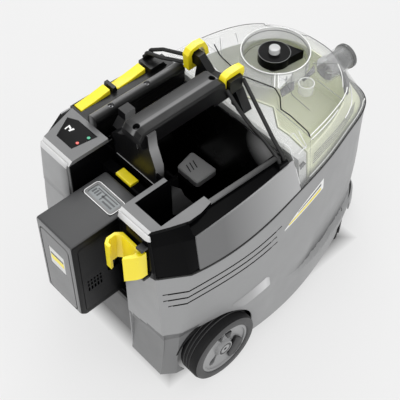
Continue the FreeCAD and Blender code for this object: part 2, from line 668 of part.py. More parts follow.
def hose_port():
    x, y, z = HOSE_PORT
    inner, back, outer = PORT_X
    sleeve = cyl(inner, y, z, HOSE_BORE_R + 1.5, outer - inner, (1, 0, 0))
    flange = cyl(back, y, z, HOSE_BORE_R + 5, outer - back, (1, 0, 0))
    return fuse([sleeve, flange]).cut(cyl(inner - 5, y, z, HOSE_BORE_R, outer - inner + 10, (1, 0, 0)))


def port_notch():
    """Gap in the front rim of the tank and its channel that the hose port's boss drops into."""
    x, y, z = HOSE_PORT
    half = HOSE_BORE_R + 6
    round_end = cyl(195, y, z, half, 80, (1, 0, 0))
    return fuse([round_end, box(195, 275, y - half, y + half, z, z + 40)])


def float_housing():
    """Black float cage with a beak-shaped outlet, standing on the floor of the well."""
    x, y = FLOAT
    base_z = 340 + LID_SKIN + 0.1
    cage = cyl(x, y, base_z, 26, 16)
    beak = prism_xy([(x - 11, y - 23), (x + 36, y - 29), (x + 19, y + 17)], base_z, base_z + 16)
    beak = beak.common(cyl(WELL[0], WELL[1], 300, WELL[2] - LID_SKIN - 1, 100))
    neck = cyl(x, y, 325, 9.0, base_z - 325 + 1)
    housing = fuse([cage, beak, neck])
    housing = housing.cut(cyl(x, y, 300, 5.0, 40))
    return housing.cut(cyl(x, y, 327, 7.0, base_z + 12 - 327))


def float_knob():
    x, y = FLOAT
    base_z = 340 + LID_SKIN + 16.3
    knob = cyl(x, y, base_z, 9, 9)
    return knob.makeFillet(1.5, [e for e in knob.Edges if e.Curve.TypeId == "Part::GeomCircle"
                                 and e.BoundBox.ZMin > base_z + 8])


def float_ball():
    return Part.makeSphere(6.4, V(FLOAT[0], FLOAT[1], 334))


def dirty_tank():
    outer_low = section_at(226.0)
    outer_belt = section_at(BELT_Z)
    outer_top = section_at(330.0)

    def hollow(inset):
        low = plan_wire(outer_low, 14 + inset)
        belt = plan_wire(outer_belt, 9 + inset)
        top = plan_wire(outer_top, 9 + inset)
        lower = Part.makeLoft([low, belt], True, True)
        upper = Part.makeLoft([belt, top], True, True)
        return lower.fuse(upper)

    outer = hollow(0).common(seam_side(2.0))
    inner = hollow(2.5).common(seam_side(4.5)).common(box(0, 300, -200, 200, 228.5, 500))
    return outer.cut(inner).cut(port_notch())


def tank_gasket():
    """Dark channel on the rim of the tank, from the hose port round the near corner of the nose."""
    ring = slab(section_at(330.0), 7.6, 330.2, 336).cut(slab(section_at(330.0), 12.6, 330, 337))
    return ring.common(box(200, 300, -200, -34, 300, 400)).cut(port_notch())


def fresh_tank():
    low, high = section_at(62.0), section_at(220.0)

    def solid(inset, z0, z1):
        return Part.makeLoft([plan_wire(low, 8 + inset, z0), plan_wire(high, 8 + inset, z1)], True, True)

    outer = solid(0, 62.0, 220.0).common(box(22, 300, -200, 200, 0, 500))
    inner = solid(3, 65.0, 217.0).common(box(25, 300, -200, 200, 0, 500))
    riser_low, riser_high = section_at(BELT_Z), section_at(330.0)
    neck = Part.makeLoft([plan_wire(high, 12, 219.0), plan_wire(riser_low, 9)], True, True)
    head = Part.makeLoft([plan_wire(riser_low, 9), plan_wire(riser_high, 9)], True, True)
    behind_seam = box(47, 200, -200, 200, 210, 330).cut(seam_side(-1.0))
    riser = neck.fuse(head).common(behind_seam)
    hollow = box(49.5, 200, -117, 117, 215, 327.5).cut(seam_side(-3.5))
    return fuse([outer.cut(inner), riser]).cut(hollow.common(box(0, 300, -200, 200, 216, 400)))


# ---- drive and running gear --------------------------------------------------------------------------
def turbine_housing():
    x, y = TURBINE
    drum = cyl(x, y, 58, 48, 84).cut(cyl(x, y, 96, 45, 30))
    motor_bore = cyl(x, y, 90, 3.05, 60)
    inlet = cyl(x, y, 120, 16, 40)
    outlet = box(x - 70, x - 40, y - 10, y + 10, 100, 120)
    return drum.cut(group([motor_bore, inlet])).cut(outlet)


def turbine_impeller():
    x, y = TURBINE
    disc = cyl(x, y, 100, 42, 2.5).fuse(cyl(x, y, 91, 3.0, 12))
    blades = []
    for k in range(8):
        blade = box(8, 41, -1.2, 1.2, 102, 112)
        blade.rotate(V(0, 0, 0), V(0, 0, 1), 45 * k)
        blade.translate(V(x, y, 0))
        blades.append(blade)
    return fuse([disc] + blades)


def water_pump():
    motor = cyl(-105, -75, 80, 17, 60, (1, 0, 0))
    head = soft_box(-45, -18, -95, -55, 62, 100, 4)
    foot = box(-104, -30, -90, -60, BASE_Z[1] + 0.1, 66)
    return fuse([motor, head, foot])


def control_board():
    parts = [box(-196, -136, -44, 44, 138, 140)]
    for x, y, h in ((-186, -20, 8), (-170, 12, 10), (-150, -8, 6), (-152, 26, 9)):
        parts.append(box(x, x + 10, y, y + 12, 139.5, 140 + h))
    for x in (-190, -142):
        for y in (-38, 38):
            parts.append(cyl(x, y, 139.5, 3, BAY_FLOOR_Z - 3.1 - 139.5))
    return fuse(parts)


def rear_axle():
    return rod_y(WHEEL_X, WHEEL_R, AXLE_R, -176, 176)


def wheel_profile(points, side):
    """Turn a profile of (radius, distance from the centre plane) about the axle."""
    wire = Part.makePolygon([V(WHEEL_X + r, side * y, WHEEL_R) for r, y in points + points[:1]])
    return Part.Face(wire).revolve(V(WHEEL_X, 0, WHEEL_R), V(0, 1, 0), 360)


def tyre(side):
    y0, y1 = WHEEL_Y
    profile = [(HUB_R, y0 + 2), (WHEEL_R - 6, y0), (WHEEL_R - 2, y0 + 2), (WHEEL_R, y0 + 7)]
    for k in range(3):
        y = y0 + 10 + 6 * k
        profile += [(WHEEL_R, y), (WHEEL_R - 2, y + 0.4), (WHEEL_R - 2, y + 1.6), (WHEEL_R, y + 2)]
    profile += [(WHEEL_R, y1 - 7), (WHEEL_R - 2, y1 - 2), (WHEEL_R - 6, y1), (HUB_R + 2, y1), (HUB_R, y1 - 2)]
    return wheel_profile(profile, side)


def hub(side):
    y0, y1 = WHEEL_Y
    rim = HUB_R - 0.02
    profile = [(AXLE_R + 0.05, y0), (16, y0), (16, y1 - 16), (40, y1 - 14), (40, y0 + 4), (rim, y0 + 4),
               (rim, y1 - 2.5), (43, y1 - 2.5), (42, y1 - 5), (17, y1 - 8), (14, y1 - 1.5), (3, y1 - 1.5),
               (3, y1 - 2.7), (AXLE_R + 0.05, y1 - 2.7)]
    body = wheel_profile(profile, side)
    a, b = sorted((side * (y1 - 20), side * (y1 + 1)))
    slots = []
    for k in range(3):
        slot = fuse([rod_y(WHEEL_X + 31, WHEEL_R, 6.5, a, b),
                     prism_xz([(WHEEL_X + 16.5, WHEEL_R - 1.5), (WHEEL_X + 30, WHEEL_R - 6.2),
                               (WHEEL_X + 30, WHEEL_R + 6.2), (WHEEL_X + 16.5, WHEEL_R + 1.5)], a, b)])
        slot.rotate(V(WHEEL_X, 0, WHEEL_R), V(0, 1, 0), 120 * k + 20)
        slots.append(slot)
    return body.cut(group(slots))


def caster_fork(side):
    x, y = CASTER[0], side * CASTER[1]
    wheel_x = x - CASTER_TRAIL
    plate = cyl(x, y, 42.5, 11, 4.5).fuse(box(wheel_x - 9, x, y - 11, y + 11, 42.5, 46))
    stem = cyl(x, y, 46, 5.0, 8)
    cheeks = []
    for s in (-1, 1):
        a, b = sorted((y + s * 8.6, y + s * 11))
        cheek = prism_xz([(x + 6, 45), (wheel_x - 9, 45), (wheel_x - 5, CASTER_R - 5),
                          (wheel_x + 5, CASTER_R - 5)], a, b)
        cheeks.append(cheek)
    pin = rod_y(wheel_x, CASTER_R, 3.0, y - 10, y + 10)
    fork = fuse([plate, stem, pin] + cheeks)
    return fork.rotate(V(x, y, 0), V(0, 0, 1), -side * CASTER_TURN)


def caster_wheel(side):
    x, y = CASTER[0] - CASTER_TRAIL, side * CASTER[1]
    wheel = rod_y(x, CASTER_R, CASTER_R, y - 8, y + 8)
    wheel = wheel.makeFillet(3.5, [e for e in wheel.Edges if e.Curve.TypeId == "Part::GeomCircle"])
    wheel = wheel.cut(rod_y(x, CASTER_R, 3.05, y - 12, y + 12))
    return wheel.rotate(V(CASTER[0], y, 0), V(0, 0, 1), -side * CASTER_TURN)


# ---- write every piece -------------------------------------------------------------------------------
def main():
    os.makedirs("parts", exist_ok=True)
    end = clear_end()
    pieces = {
        "outer_shell": outer_shell(), "chassis_base": chassis_base(), "belt_seal": belt_seal(),
        "shoulder_near": shoulder(-1, SHOULDER_NEAR_Z), "shoulder_far": shoulder(1, 365.0),
        "corner_panel_near": corner_panel_sloped(), "corner_panel_far": corner_panel(1),
        "lower_panel": lower_panel(), "rear_deck": rear_deck(), "panel_glass": panel_glass(),
        "status_leds": status_leds(), "storage_bin": storage_bin(), "knob_pedestal": knob_pedestal(),
        "bin_knob": bin_knob(), "switch_console": switch_console(), "suction_switch": rocker(ROCKER_MID_X[0]),
        "spray_switch": rocker(ROCKER_MID_X[1]), "console_rail": console_rail(), "handle_beam": handle_beam(),
        "handle_grip": handle_grip(), "handle_rear_leg": handle_rear_leg(),
        "handle_front_leg": handle_front_leg(), "housing_screws": housing_screws(),
        "battery_bay": battery_bay(), "contact_block": contact_block(), "latch_bar": latch_bar(),
        "release_button": release_button(), "battery_case": battery_case(), "lcd_bezel": lcd_bezel(),
        "lcd_display": lcd_display(), "battery_label": battery_label(), "rear_hook": rear_hook(),
        "hook_pin": hook_pin(), "strap_hook_near": strap_hook_near(), "strap_hook_far": strap_hook_far(),
        "strap_anchors": strap_anchors(),
        "strap_near": group([cord(NEAR_TAUT, STRAP_R, 5), cord(NEAR_SLACK, STRAP_R, 5)]),
        "strap_far": group([cord(FAR_TAUT, STRAP_R, 5), cord(FAR_SLACK, STRAP_R, 5)]),
        "rear_cover": rear_cover(end), "clear_lid": clear_lid(end), "hose_port": hose_port(),
        "float_housing": float_housing(), "float_knob": float_knob(), "float_ball": float_ball(),
        "dirty_tank": dirty_tank(), "tank_gasket": tank_gasket(), "fresh_tank": fresh_tank(),
        "turbine_housing": turbine_housing(), "turbine_impeller": turbine_impeller(),
        "water_pump": water_pump(), "control_board": control_board(), "rear_axle": rear_axle(),
        "tyre_near": tyre(-1), "tyre_far": tyre(1), "hub_near": hub(-1), "hub_far": hub(1),
        "caster_fork_near": caster_fork(-1), "caster_fork_far": caster_fork(1),
        "caster_wheel_near": caster_wheel(-1), "caster_wheel_far": caster_wheel(1),
    }
    for name, shape in pieces.items():
        save(name, shape)
        b = shape.BoundBox
        print("%-20s solids %d valid %s  x %.1f %.1f  y %.1f %.1f  z %.1f %.1f" % (
            name, len(shape.Solids), shape.isValid(), b.XMin, b.XMax, b.YMin, b.YMax, b.ZMin, b.ZMax))
    print(len(pieces), "nodes")


main()
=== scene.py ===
"""Looks of the battery spot extractor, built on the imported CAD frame. Metres, same frame as the CAD."""
import math

import bmesh
import bpy
from mathutils import Matrix, Vector


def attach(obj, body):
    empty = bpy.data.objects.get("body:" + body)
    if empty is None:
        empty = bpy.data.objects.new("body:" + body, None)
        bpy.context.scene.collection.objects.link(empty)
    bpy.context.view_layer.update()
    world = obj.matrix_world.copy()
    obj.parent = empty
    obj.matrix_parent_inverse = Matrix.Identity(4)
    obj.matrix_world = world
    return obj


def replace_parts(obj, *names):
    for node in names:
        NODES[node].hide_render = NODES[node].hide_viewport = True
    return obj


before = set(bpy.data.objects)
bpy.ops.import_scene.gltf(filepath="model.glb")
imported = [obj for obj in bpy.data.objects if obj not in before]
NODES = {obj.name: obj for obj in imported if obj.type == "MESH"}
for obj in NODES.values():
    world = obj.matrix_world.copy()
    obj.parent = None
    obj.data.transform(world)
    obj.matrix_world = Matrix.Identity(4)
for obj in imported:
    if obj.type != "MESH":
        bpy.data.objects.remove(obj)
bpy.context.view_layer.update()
MM = 0.001


# ---- materials ---------------------------------------------------------------------------------------
def new_material(name):
    mat = bpy.data.materials.new(name)
    mat.use_nodes = True
    nodes, links = mat.node_tree.nodes, mat.node_tree.links
    return mat, nodes, links, nodes["Principled BSDF"]


def noise(nodes, links, coord, scale, detail=3.0):
    """Noise in object space, between 0 and 1."""
    tex = nodes.new("ShaderNodeTexNoise")
    tex.inputs["Scale"].default_value = scale
    tex.inputs["Detail"].default_value = detail
    links.new(coord.outputs["Object"], tex.inputs["Vector"])
    return tex.outputs["Fac"]


def ranged(nodes, links, value, low, high, from_low=0.3, from_high=0.7):
    """The value mapped from one span to another, and held at the ends."""
    node = nodes.new("ShaderNodeMapRange")
    node.inputs["From Min"].default_value = from_low
    node.inputs["From Max"].default_value = from_high
    node.inputs["To Min"].default_value = low
    node.inputs["To Max"].default_value = high
    links.new(value, node.inputs["Value"])
    return node.outputs["Result"]


def tinted(nodes, links, value, first, second):
    """A blend of two colours: the first at 0 and the second at 1."""
    mix = nodes.new("ShaderNodeMix")
    mix.data_type = "RGBA"
    links.new(value, mix.inputs["Factor"])
    mix.inputs["A"].default_value = (*first, 1)
    mix.inputs["B"].default_value = (*second, 1)
    return mix.outputs["Result"]


def against(nodes, links, operation, vector):
    """DOT_PRODUCT of the object-space place with a direction, or its DISTANCE from a point."""
    coord = nodes.new("ShaderNodeTexCoord")
    node = nodes.new("ShaderNodeVectorMath")
    node.operation = operation
    links.new(coord.outputs["Object"], node.inputs[0])
    node.inputs[1].default_value = vector
    return node.outputs["Value"]


def recolour(mat, color_output):
    """Takes a material's base colour from a node output."""
    mat.node_tree.links.new(color_output, mat.node_tree.nodes["Principled BSDF"].inputs["Base Color"])
    return mat


def colour_steps(nodes, links, value, steps):
    """A colour ramp through (position, colour) steps."""
    ramp = nodes.new("ShaderNodeValToRGB")
    elements = ramp.color_ramp.elements
    while len(elements) < len(steps):
        elements.new(0.5)
    for element, (position, color) in zip(elements, steps):
        element.position = position
        element.color = (*color, 1)
    links.new(value, ramp.inputs["Fac"])
    return ramp.outputs["Color"]


def plastic(name, color, rough=0.4, vary=0.06, grain=900.0, bump=0.08, coat=0.0, specular=0.5, metallic=0.0):
    """Moulded plastic or rubber: slight colour drift, uneven gloss and a fine surface grain."""
    mat, nodes, links, bsdf = new_material(name)
    coord = nodes.new("ShaderNodeTexCoord")
    broad = noise(nodes, links, coord, 9.0)
    dark = [c * (1 - vary) for c in color]
    light = [min(1.0, c * (1 + vary)) for c in color]
    links.new(tinted(nodes, links, ranged(nodes, links, broad, 0, 1), dark, light), bsdf.inputs["Base Color"])
    smudge = noise(nodes, links, coord, 35.0, 5.0)
    links.new(ranged(nodes, links, smudge, rough * 0.88, min(1.0, rough * 1.14)), bsdf.inputs["Roughness"])
    fine = noise(nodes, links, coord, grain, 2.0)
    bumped = nodes.new("ShaderNodeBump")
    bumped.inputs["Strength"].default_value = bump
    bumped.inputs["Distance"].default_value = 0.0004
    links.new(fine, bumped.inputs["Height"])
    links.new(bumped.outputs["Normal"], bsdf.inputs["Normal"])
    bsdf.inputs["Metallic"].default_value = metallic
    bsdf.inputs["Specular IOR Level"].default_value = specular
    bsdf.inputs["Coat Weight"].default_value = coat
    bsdf.inputs["Coat Roughness"].default_value = 0.06
    return mat


def clear_plastic(name, color, low, high, rough=0.06):
    """Clear polycarbonate: nearly invisible face on, denser and darker at grazing angles."""
    mat, nodes, links, bsdf = new_material(name)
    coord = nodes.new("ShaderNodeTexCoord")
    weight = nodes.new("ShaderNodeLayerWeight")
    weight.inputs["Blend"].default_value = 0.35
    streak = ranged(nodes, links, noise(nodes, links, coord, 22.0), 0.85, 1.15)
    alpha = nodes.new("ShaderNodeMapRange")
    alpha.inputs["To Min"].default_value = low
    alpha.inputs["To Max"].default_value = high
    links.new(weight.outputs["Facing"], alpha.inputs["Value"])
    product = nodes.new("ShaderNodeMath")
    product.operation = "MULTIPLY"
    links.new(alpha.outputs["Result"], product.inputs[0])
    links.new(streak, product.inputs[1])
    links.new(product.outputs["Value"], bsdf.inputs["Alpha"])
    dark = [c * 0.45 for c in color]
    links.new(tinted(nodes, links, weight.outputs["Facing"], color, dark), bsdf.inputs["Base Color"])
    bsdf.inputs["Roughness"].default_value = rough
    bsdf.inputs["IOR"].default_value = 1.5
    return mat


def two_tone(name, low_color, high_color, axis_line, rough=0.4, specular=0.35):
    """Moulded surface whose tone drifts along a line in object space: (normal, start, end) in metres."""
    mat = plastic(name, low_color, rough, 0.04, 1400, 0.05, specular=specular)
    nodes, links = mat.node_tree.nodes, mat.node_tree.links
    normal, start, end = axis_line
    span = ranged(nodes, links, against(nodes, links, "DOT_PRODUCT", normal), 0, 1, start, end)
    return recolour(mat, tinted(nodes, links, span, low_color, high_color))


# In order: name, linear colour, roughness, colour drift, grain scale, grain strength.
SHELL = plastic("shell_grey", (0.30, 0.302, 0.305), 0.40, 0.04, 1400, 0.05, specular=0.4)
DECK = plastic("deck_grey", (0.16, 0.161, 0.163), 0.42, 0.05, 1400, 0.07, specular=0.4)
# Painted highlight on the lips and chamfers that face the rear and up.
LIP_HIGHLIGHT = plastic("deck_lip_painted_highlight", (0.62, 0.62, 0.62), 0.35, 0.04, 1200, 0.04, specular=0.5)
GLOSS = plastic("gloss_black", (0.0024, 0.0024, 0.0027), 0.16, 0.1, 500, 0.01, specular=0.05)
SATIN_BLACK = plastic("satin_black", (0.0045, 0.0045, 0.005), 0.34, 0.1, 1200, 0.05, specular=0.3)
MATT_BLACK = plastic("matt_black", (0.008, 0.008, 0.009), 0.6, 0.1, 1200, 0.1, specular=0.25)
DARK = plastic("dark_grey", (0.018, 0.018, 0.019), 0.36, 0.06, 1300, 0.06, specular=0.4)
BATTERY = plastic("battery_grey", (0.052, 0.0525, 0.054), 0.42, 0.05, 1500, 0.1, specular=0.4)
YELLOW = plastic("yellow", (0.90, 0.74, 0.012), 0.3, 0.05, 900, 0.03, coat=0.3)
RUBBER = plastic("rubber", (0.008, 0.008, 0.008), 0.5, 0.1, 1500, 0.1, specular=0.4)
TYRE = plastic("tyre_rubber", (0.007, 0.007, 0.0075), 0.62, 0.1, 1100, 0.16, specular=0.2)
HUB = plastic("hub_grey", (0.30, 0.302, 0.305), 0.34, 0.05, 1300, 0.05)
STEEL = plastic("steel", (0.16, 0.16, 0.165), 0.32, 0.08, 700, 0.05, metallic=0.9)
BEZEL = plastic("bezel_grey", (0.17, 0.172, 0.173), 0.35, 0.05, 1300, 0.04)
GREY = plastic("mid_grey", (0.50, 0.502, 0.505), 0.4, 0.05, 1300, 0.05)
LABEL = plastic("label_film", (0.66, 0.66, 0.65), 0.3, 0.04, 600, 0.02)
WHITE = plastic("white_print", (0.86, 0.86, 0.85), 0.35, 0.03, 600, 0.02)
LCD_BACK = plastic("display_backing", (0.20, 0.22, 0.225), 0.2, 0.05, 500, 0.02)
LCD_INK = plastic("display_segments", (0.035, 0.04, 0.045), 0.25, 0.05, 500, 0.02)
CREAM = two_tone("tank_cream", (0.64, 0.65, 0.63), (0.80, 0.83, 0.60), ((0.0, -1.0, 0.0), -0.075, -0.045),
                 0.45, 0.3)
WALL_WHITE = plastic("tank_white", (0.62, 0.63, 0.61), 0.4, 0.05, 500, 0.05, specular=0.3)
FLOAT_BLACK = plastic("float_black", (0.0016, 0.0016, 0.0018), 0.3, 0.1, 500, 0.02, specular=0.05)
# Painted highlight and painted shade, drawn as lines and thin plates, mostly where the clear plastic catches
# or loses the light.
HILITE = plastic("clear_highlight", (0.86, 0.865, 0.86), 0.2, 0.04, 500, 0.02)
EDGE_SHADE = plastic("clear_edge_painted_shade", (0.018, 0.018, 0.018), 0.25, 0.1, 600, 0.02)
EDGE_GREY_SHADE = plastic("clear_edge_painted_grey_shade", (0.20, 0.205, 0.205), 0.25, 0.1, 600, 0.02)
SIDEWALL = plastic("tyre_sidewall", (0.075, 0.075, 0.076), 0.55, 0.08, 1100, 0.12, specular=0.3)
BAY_EDGE_HIGHLIGHT = plastic("bay_edge_painted_highlight", (0.36, 0.362, 0.365), 0.4, 0.06, 1200, 0.05)
BATTERY_SIDE_SHADE = plastic("battery_side_painted_shade", (0.0035, 0.0035, 0.004), 0.4, 0.1, 1500, 0.06, specular=0.2)
BATTERY_END_LIGHT = plastic("battery_end_painted_light", (0.20, 0.201, 0.203), 0.4, 0.05, 1500, 0.08, specular=0.4)
BOARD = plastic("board_green", (0.02, 0.09, 0.04), 0.4)
LED_RED = plastic("led_red", (0.75, 0.10, 0.08), 0.25, 0.05, 600, 0.02)
LED_GREEN = plastic("led_green", (0.05, 0.45, 0.25), 0.25, 0.05, 600, 0.02)
# In order: name, linear colour, opacity face on, opacity at grazing angles, roughness.
CLEAR = clear_plastic("clear_polycarbonate", (0.88, 0.89, 0.89), 0.02, 0.36)
CLEAR_THICK = clear_plastic("clear_rib", (0.93, 0.94, 0.94), 0.42, 0.8)
CLEAR_KNOB = clear_plastic("clear_knob", (0.85, 0.86, 0.86), 0.5, 0.85)
SMOKE = clear_plastic("smoke_plastic", (0.12, 0.122, 0.122), 0.72, 0.95, 0.15)
# Painted light and shade on the near shoulder: dark toward the rear, light toward the front.
SHOULDER_LIGHT_AND_SHADE = two_tone("shoulder_painted_light_and_shade", (0.15, 0.151, 0.153), (0.42, 0.422, 0.425),
                    ((1.0, 0.0, 0.0), -0.12, 0.03))

MATERIALS = {
    SHELL: ["outer_shell", "shoulder_far"],
    SHOULDER_LIGHT_AND_SHADE: ["shoulder_near"],
    DECK: ["rear_deck"],
    SMOKE: ["hose_port"],
    GLOSS: ["corner_panel_near", "corner_panel_far", "panel_glass", "storage_bin", "knob_pedestal",
            "battery_bay", "latch_bar", "strap_anchors"],
    SATIN_BLACK: ["switch_console", "handle_rear_leg", "handle_front_leg"],
    MATT_BLACK: ["chassis_base", "contact_block", "turbine_impeller", "caster_fork_near", "caster_fork_far",
                 "water_pump", "turbine_housing", "lower_panel", "rear_axle"],
    DARK: ["handle_beam", "console_rail", "hook_pin"],
    FLOAT_BLACK: ["float_housing"],
    GREY: ["bin_knob"],
    BATTERY: ["battery_case"],
    YELLOW: ["suction_switch", "spray_switch", "release_button", "rear_hook", "strap_hook_near",
             "strap_hook_far"],
    RUBBER: ["belt_seal", "handle_grip", "strap_near", "strap_far", "tank_gasket"],
    TYRE: ["tyre_near", "tyre_far", "caster_wheel_near", "caster_wheel_far"],
    HUB: ["hub_near", "hub_far"],
    STEEL: ["housing_screws"],
    BEZEL: ["lcd_bezel"],
    LCD_BACK: ["lcd_display"],
    LABEL: ["battery_label", "float_ball"],
    CREAM: ["dirty_tank"],
    WALL_WHITE: ["fresh_tank"],
    BOARD: ["control_board", "status_leds"],
    CLEAR: ["rear_cover", "clear_lid"],
    CLEAR_KNOB: ["float_knob"],
}
for material, names in MATERIALS.items():
    for node in names:
        mesh = NODES[node].data
        mesh.materials.clear()
        mesh.materials.append(material)


def dress(node):
    """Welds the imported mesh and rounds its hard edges, so that each moulding catches the light."""
    obj = NODES[node]
    weld = obj.modifiers.new("weld", "WELD")
    weld.merge_threshold = 0.02 * MM
    bevel = obj.modifiers.new("edge", "BEVEL")
    bevel.width = 0.6 * MM
    bevel.segments = 2
    bevel.limit_method = "ANGLE"
    bevel.angle_limit = math.radians(28)
    bevel.use_clamp_overlap = True
    for poly in obj.data.polygons:
        poly.use_smooth = True
    smooth = obj.modifiers.new("normals", "WEIGHTED_NORMAL")
    smooth.keep_sharp = True


# ---- stage -------------------------------------------------------------------------------------------
def floor_material():
    """Pale glowing floor with a painted shadow under the body: the glow fades in past a rectangle round the
    origin.
    """
    half_length, half_width = 0.20, 0.12
    mat, nodes, links, bsdf = new_material("pale_floor")
    coord = nodes.new("ShaderNodeTexCoord")
    links.new(tinted(nodes, links, noise(nodes, links, coord, 3.0), (0.19, 0.19, 0.19), (0.20, 0.20, 0.20)),
              bsdf.inputs["Base Color"])
    bsdf.inputs["Emission Color"].default_value = (1, 1, 1, 1)
    axes = nodes.new("ShaderNodeSeparateXYZ")
    links.new(coord.outputs["Object"], axes.inputs[0])

    def math_node(operation, first, second):
        node = nodes.new("ShaderNodeMath")
        node.operation = operation
        for socket, value in zip(node.inputs, (first, second)):
            if isinstance(value, float):
                socket.default_value = value
            else:
                links.new(value, socket)
        return node.outputs["Value"]

    past_end = math_node("SUBTRACT", math_node("ABSOLUTE", axes.outputs["X"], 0.0), half_length)
    past_side = math_node("SUBTRACT", math_node("ABSOLUTE", axes.outputs["Y"], 0.0), half_width)
    past = math_node("MAXIMUM", past_end, past_side)
    links.new(ranged(nodes, links, past, 0.08, 0.65, -0.005, 0.025), bsdf.inputs["Emission Strength"])
    bsdf.inputs["Roughness"].default_value = 0.9
    bsdf.inputs["Specular IOR Level"].default_value = 0.1
    return mat


def stage():
    bpy.ops.mesh.primitive_plane_add(size=14, location=(0, 0, 0))
    floor = bpy.context.object
    floor.name = "floor"
    floor.data.materials.append(floor_material())
    world = bpy.data.worlds.new("studio")
    world.use_nodes = True
    world.node_tree.nodes["Background"].inputs["Color"].default_value = (1, 1, 1, 1)
    world.node_tree.nodes["Background"].inputs["Strength"].default_value = 0.62
    bpy.context.scene.world = world

    def area(name, place, target, size, power):
        """A rectangular light aimed at a point: metres and watts."""
        light = bpy.data.lights.new(name, "AREA")
        light.shape = "RECTANGLE"
        light.size, light.size_y = size
        light.energy = power
        obj = bpy.data.objects.new(name, light)
        bpy.context.scene.collection.objects.link(obj)
        obj.location = place
        direction = Vector(target) - Vector(place)
        obj.rotation_euler = direction.to_track_quat("-Z", "Y").to_euler()

    area("top_softbox", (0.2, 0.3, 2.4), (0, 0, 0.2), (2.2, 2.2), 22)
    area("rear_fill", (-2.2, -0.4, 1.3), (0, 0, 0.25), (1.4, 1.2), 17)
    area("back_softbox", (1.2, 1.35, 2.0), (0, 0, 0.3), (1.2, 1.0), 14)
    area("side_key", (0.9, -2.3, 1.5), (0, 0, 0.2), (1.6, 1.0), 16)


def camera():
    """The viewpoint of the photograph, fitted to the outlines of the battery, deck, belt and wheel."""
    right = Vector((0.7373, -0.6755, 0.0)).normalized()
    forward = Vector((0.4309, 0.4703, -0.7702)).normalized()
    up = right.cross(forward).normalized()
    cam = bpy.data.objects.new("camera", bpy.data.cameras.new("camera"))
    bpy.context.scene.collection.objects.link(cam)
    cam.data.lens = 87.92
    cam.data.sensor_width = 36
    cam.data.clip_end = 50
    matrix = Matrix((right, up, -forward)).transposed().to_4x4()
    matrix.translation = Vector((-0.69957, -0.73614, 1.38552))
    cam.matrix_world = matrix
    bpy.context.scene.camera = cam


# ---- mesh helpers ------------------------------------------------------------------------------------
def piece(name, verts, faces, mats, body, sharp=30, tags=None):
    """A smooth-shaded mesh piece from millimetre corners. tags gives each face its material."""
    mesh = bpy.data.meshes.new(name)
    mesh.from_pydata([Vector(v) * MM for v in verts], [], faces)
    for mat in mats:
        mesh.materials.append(mat)
    if tags:
        for poly, tag in zip(mesh.polygons, tags):
            poly.material_index = tag
    mesh.update()
    obj = bpy.data.objects.new(name, mesh)
    bpy.context.scene.collection.objects.link(obj)
    shade(obj, sharp)
    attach(obj, body)
    return obj


def shade(obj, sharp):
    """Smooth shading, with edges past the angle in degrees left sharp."""
    for poly in obj.data.polygons:
        poly.use_smooth = True
    obj.data.set_sharp_from_angle(angle=math.radians(sharp))


def apply_all(obj):
    """Bakes the modifiers into the mesh."""
    graph = bpy.context.evaluated_depsgraph_get()
    baked = bpy.data.meshes.new_from_object(obj.evaluated_get(graph))
    obj.modifiers.clear()
    obj.data = baked


def bevelled(obj, width, segments=2):
    mod = obj.modifiers.new("edge", "BEVEL")
    mod.width = width * MM
    mod.segments = segments
    mod.limit_method = "ANGLE"
    mod.angle_limit = math.radians(30)
    apply_all(obj)
    shade(obj, 40)
    return obj


def tube(name, points, radius, mat, body, smooth=True, cap=True):
    """A round cord or edge line through millimetre points."""
    curve = bpy.data.curves.new(name, "CURVE")
    curve.dimensions = "3D"
    curve.bevel_depth = radius * MM
    curve.bevel_resolution = 3
    curve.use_fill_caps = cap
    spline = curve.splines.new("NURBS" if smooth else "POLY")
    spline.points.add(len(points) - 1)
    for point, place in zip(spline.points, points):
        point.co = (*(Vector(place) * MM), 1)
    if smooth:
        spline.order_u = 3
        spline.use_endpoint_u = True
    curve.materials.append(mat)
    obj = bpy.data.objects.new(name, curve)
    bpy.context.scene.collection.objects.link(obj)
    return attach(obj, body)


def slab(name, outline, axis, low, high, mat, body, bevel=0.0):
    """A flat prism: an outline in two axes, extruded along the third."""
    order = {"x": lambda u, v, w: (w, u, v),
             "y": lambda u, v, w: (u, w, v),
             "z": lambda u, v, w: (u, v, w)}[axis]
    n = len(outline)
    verts = [order(u, v, low) for u, v in outline] + [order(u, v, high) for u, v in outline]
    faces = [list(range(n))[::-1], list(range(n, 2 * n))]
    faces += [(i, (i + 1) % n, n + (i + 1) % n, n + i) for i in range(n)]
    obj = piece(name, verts, faces, [mat], body)
    fix_normals(obj)
    return bevelled(obj, bevel) if bevel else obj


def fix_normals(obj):
    """Turns all faces of a mesh outward."""
    work = bmesh.new()
    work.from_mesh(obj.data)
    bmesh.ops.recalc_face_normals(work, faces=work.faces)
    work.to_mesh(obj.data)
    work.free()


def walled(obj, thickness, offset):
    """Gives a surface a wall in millimetres, inward (-1) or outward (1)."""
    solid = obj.modifiers.new("wall", "SOLIDIFY")
    solid.thickness = thickness * MM
    solid.offset = offset
    apply_all(obj)


def boolean(obj, tool):
    """Cuts a tool's volume out of a mesh and removes the tool."""
    mod = obj.modifiers.new("cut", "BOOLEAN")
    mod.operation = "DIFFERENCE"
    mod.solver = "EXACT"
    mod.object = tool
    apply_all(obj)
    bpy.data.objects.remove(tool)


def cutter(verts, faces):
    """A closed mesh from millimetre corners, for boolean()."""
    mesh = bpy.data.meshes.new("cutter")
    mesh.from_pydata([Vector(v) * MM for v in verts], [], faces)
    obj = bpy.data.objects.new("cutter", mesh)
    bpy.context.scene.collection.objects.link(obj)
    fix_normals(obj)
    return obj


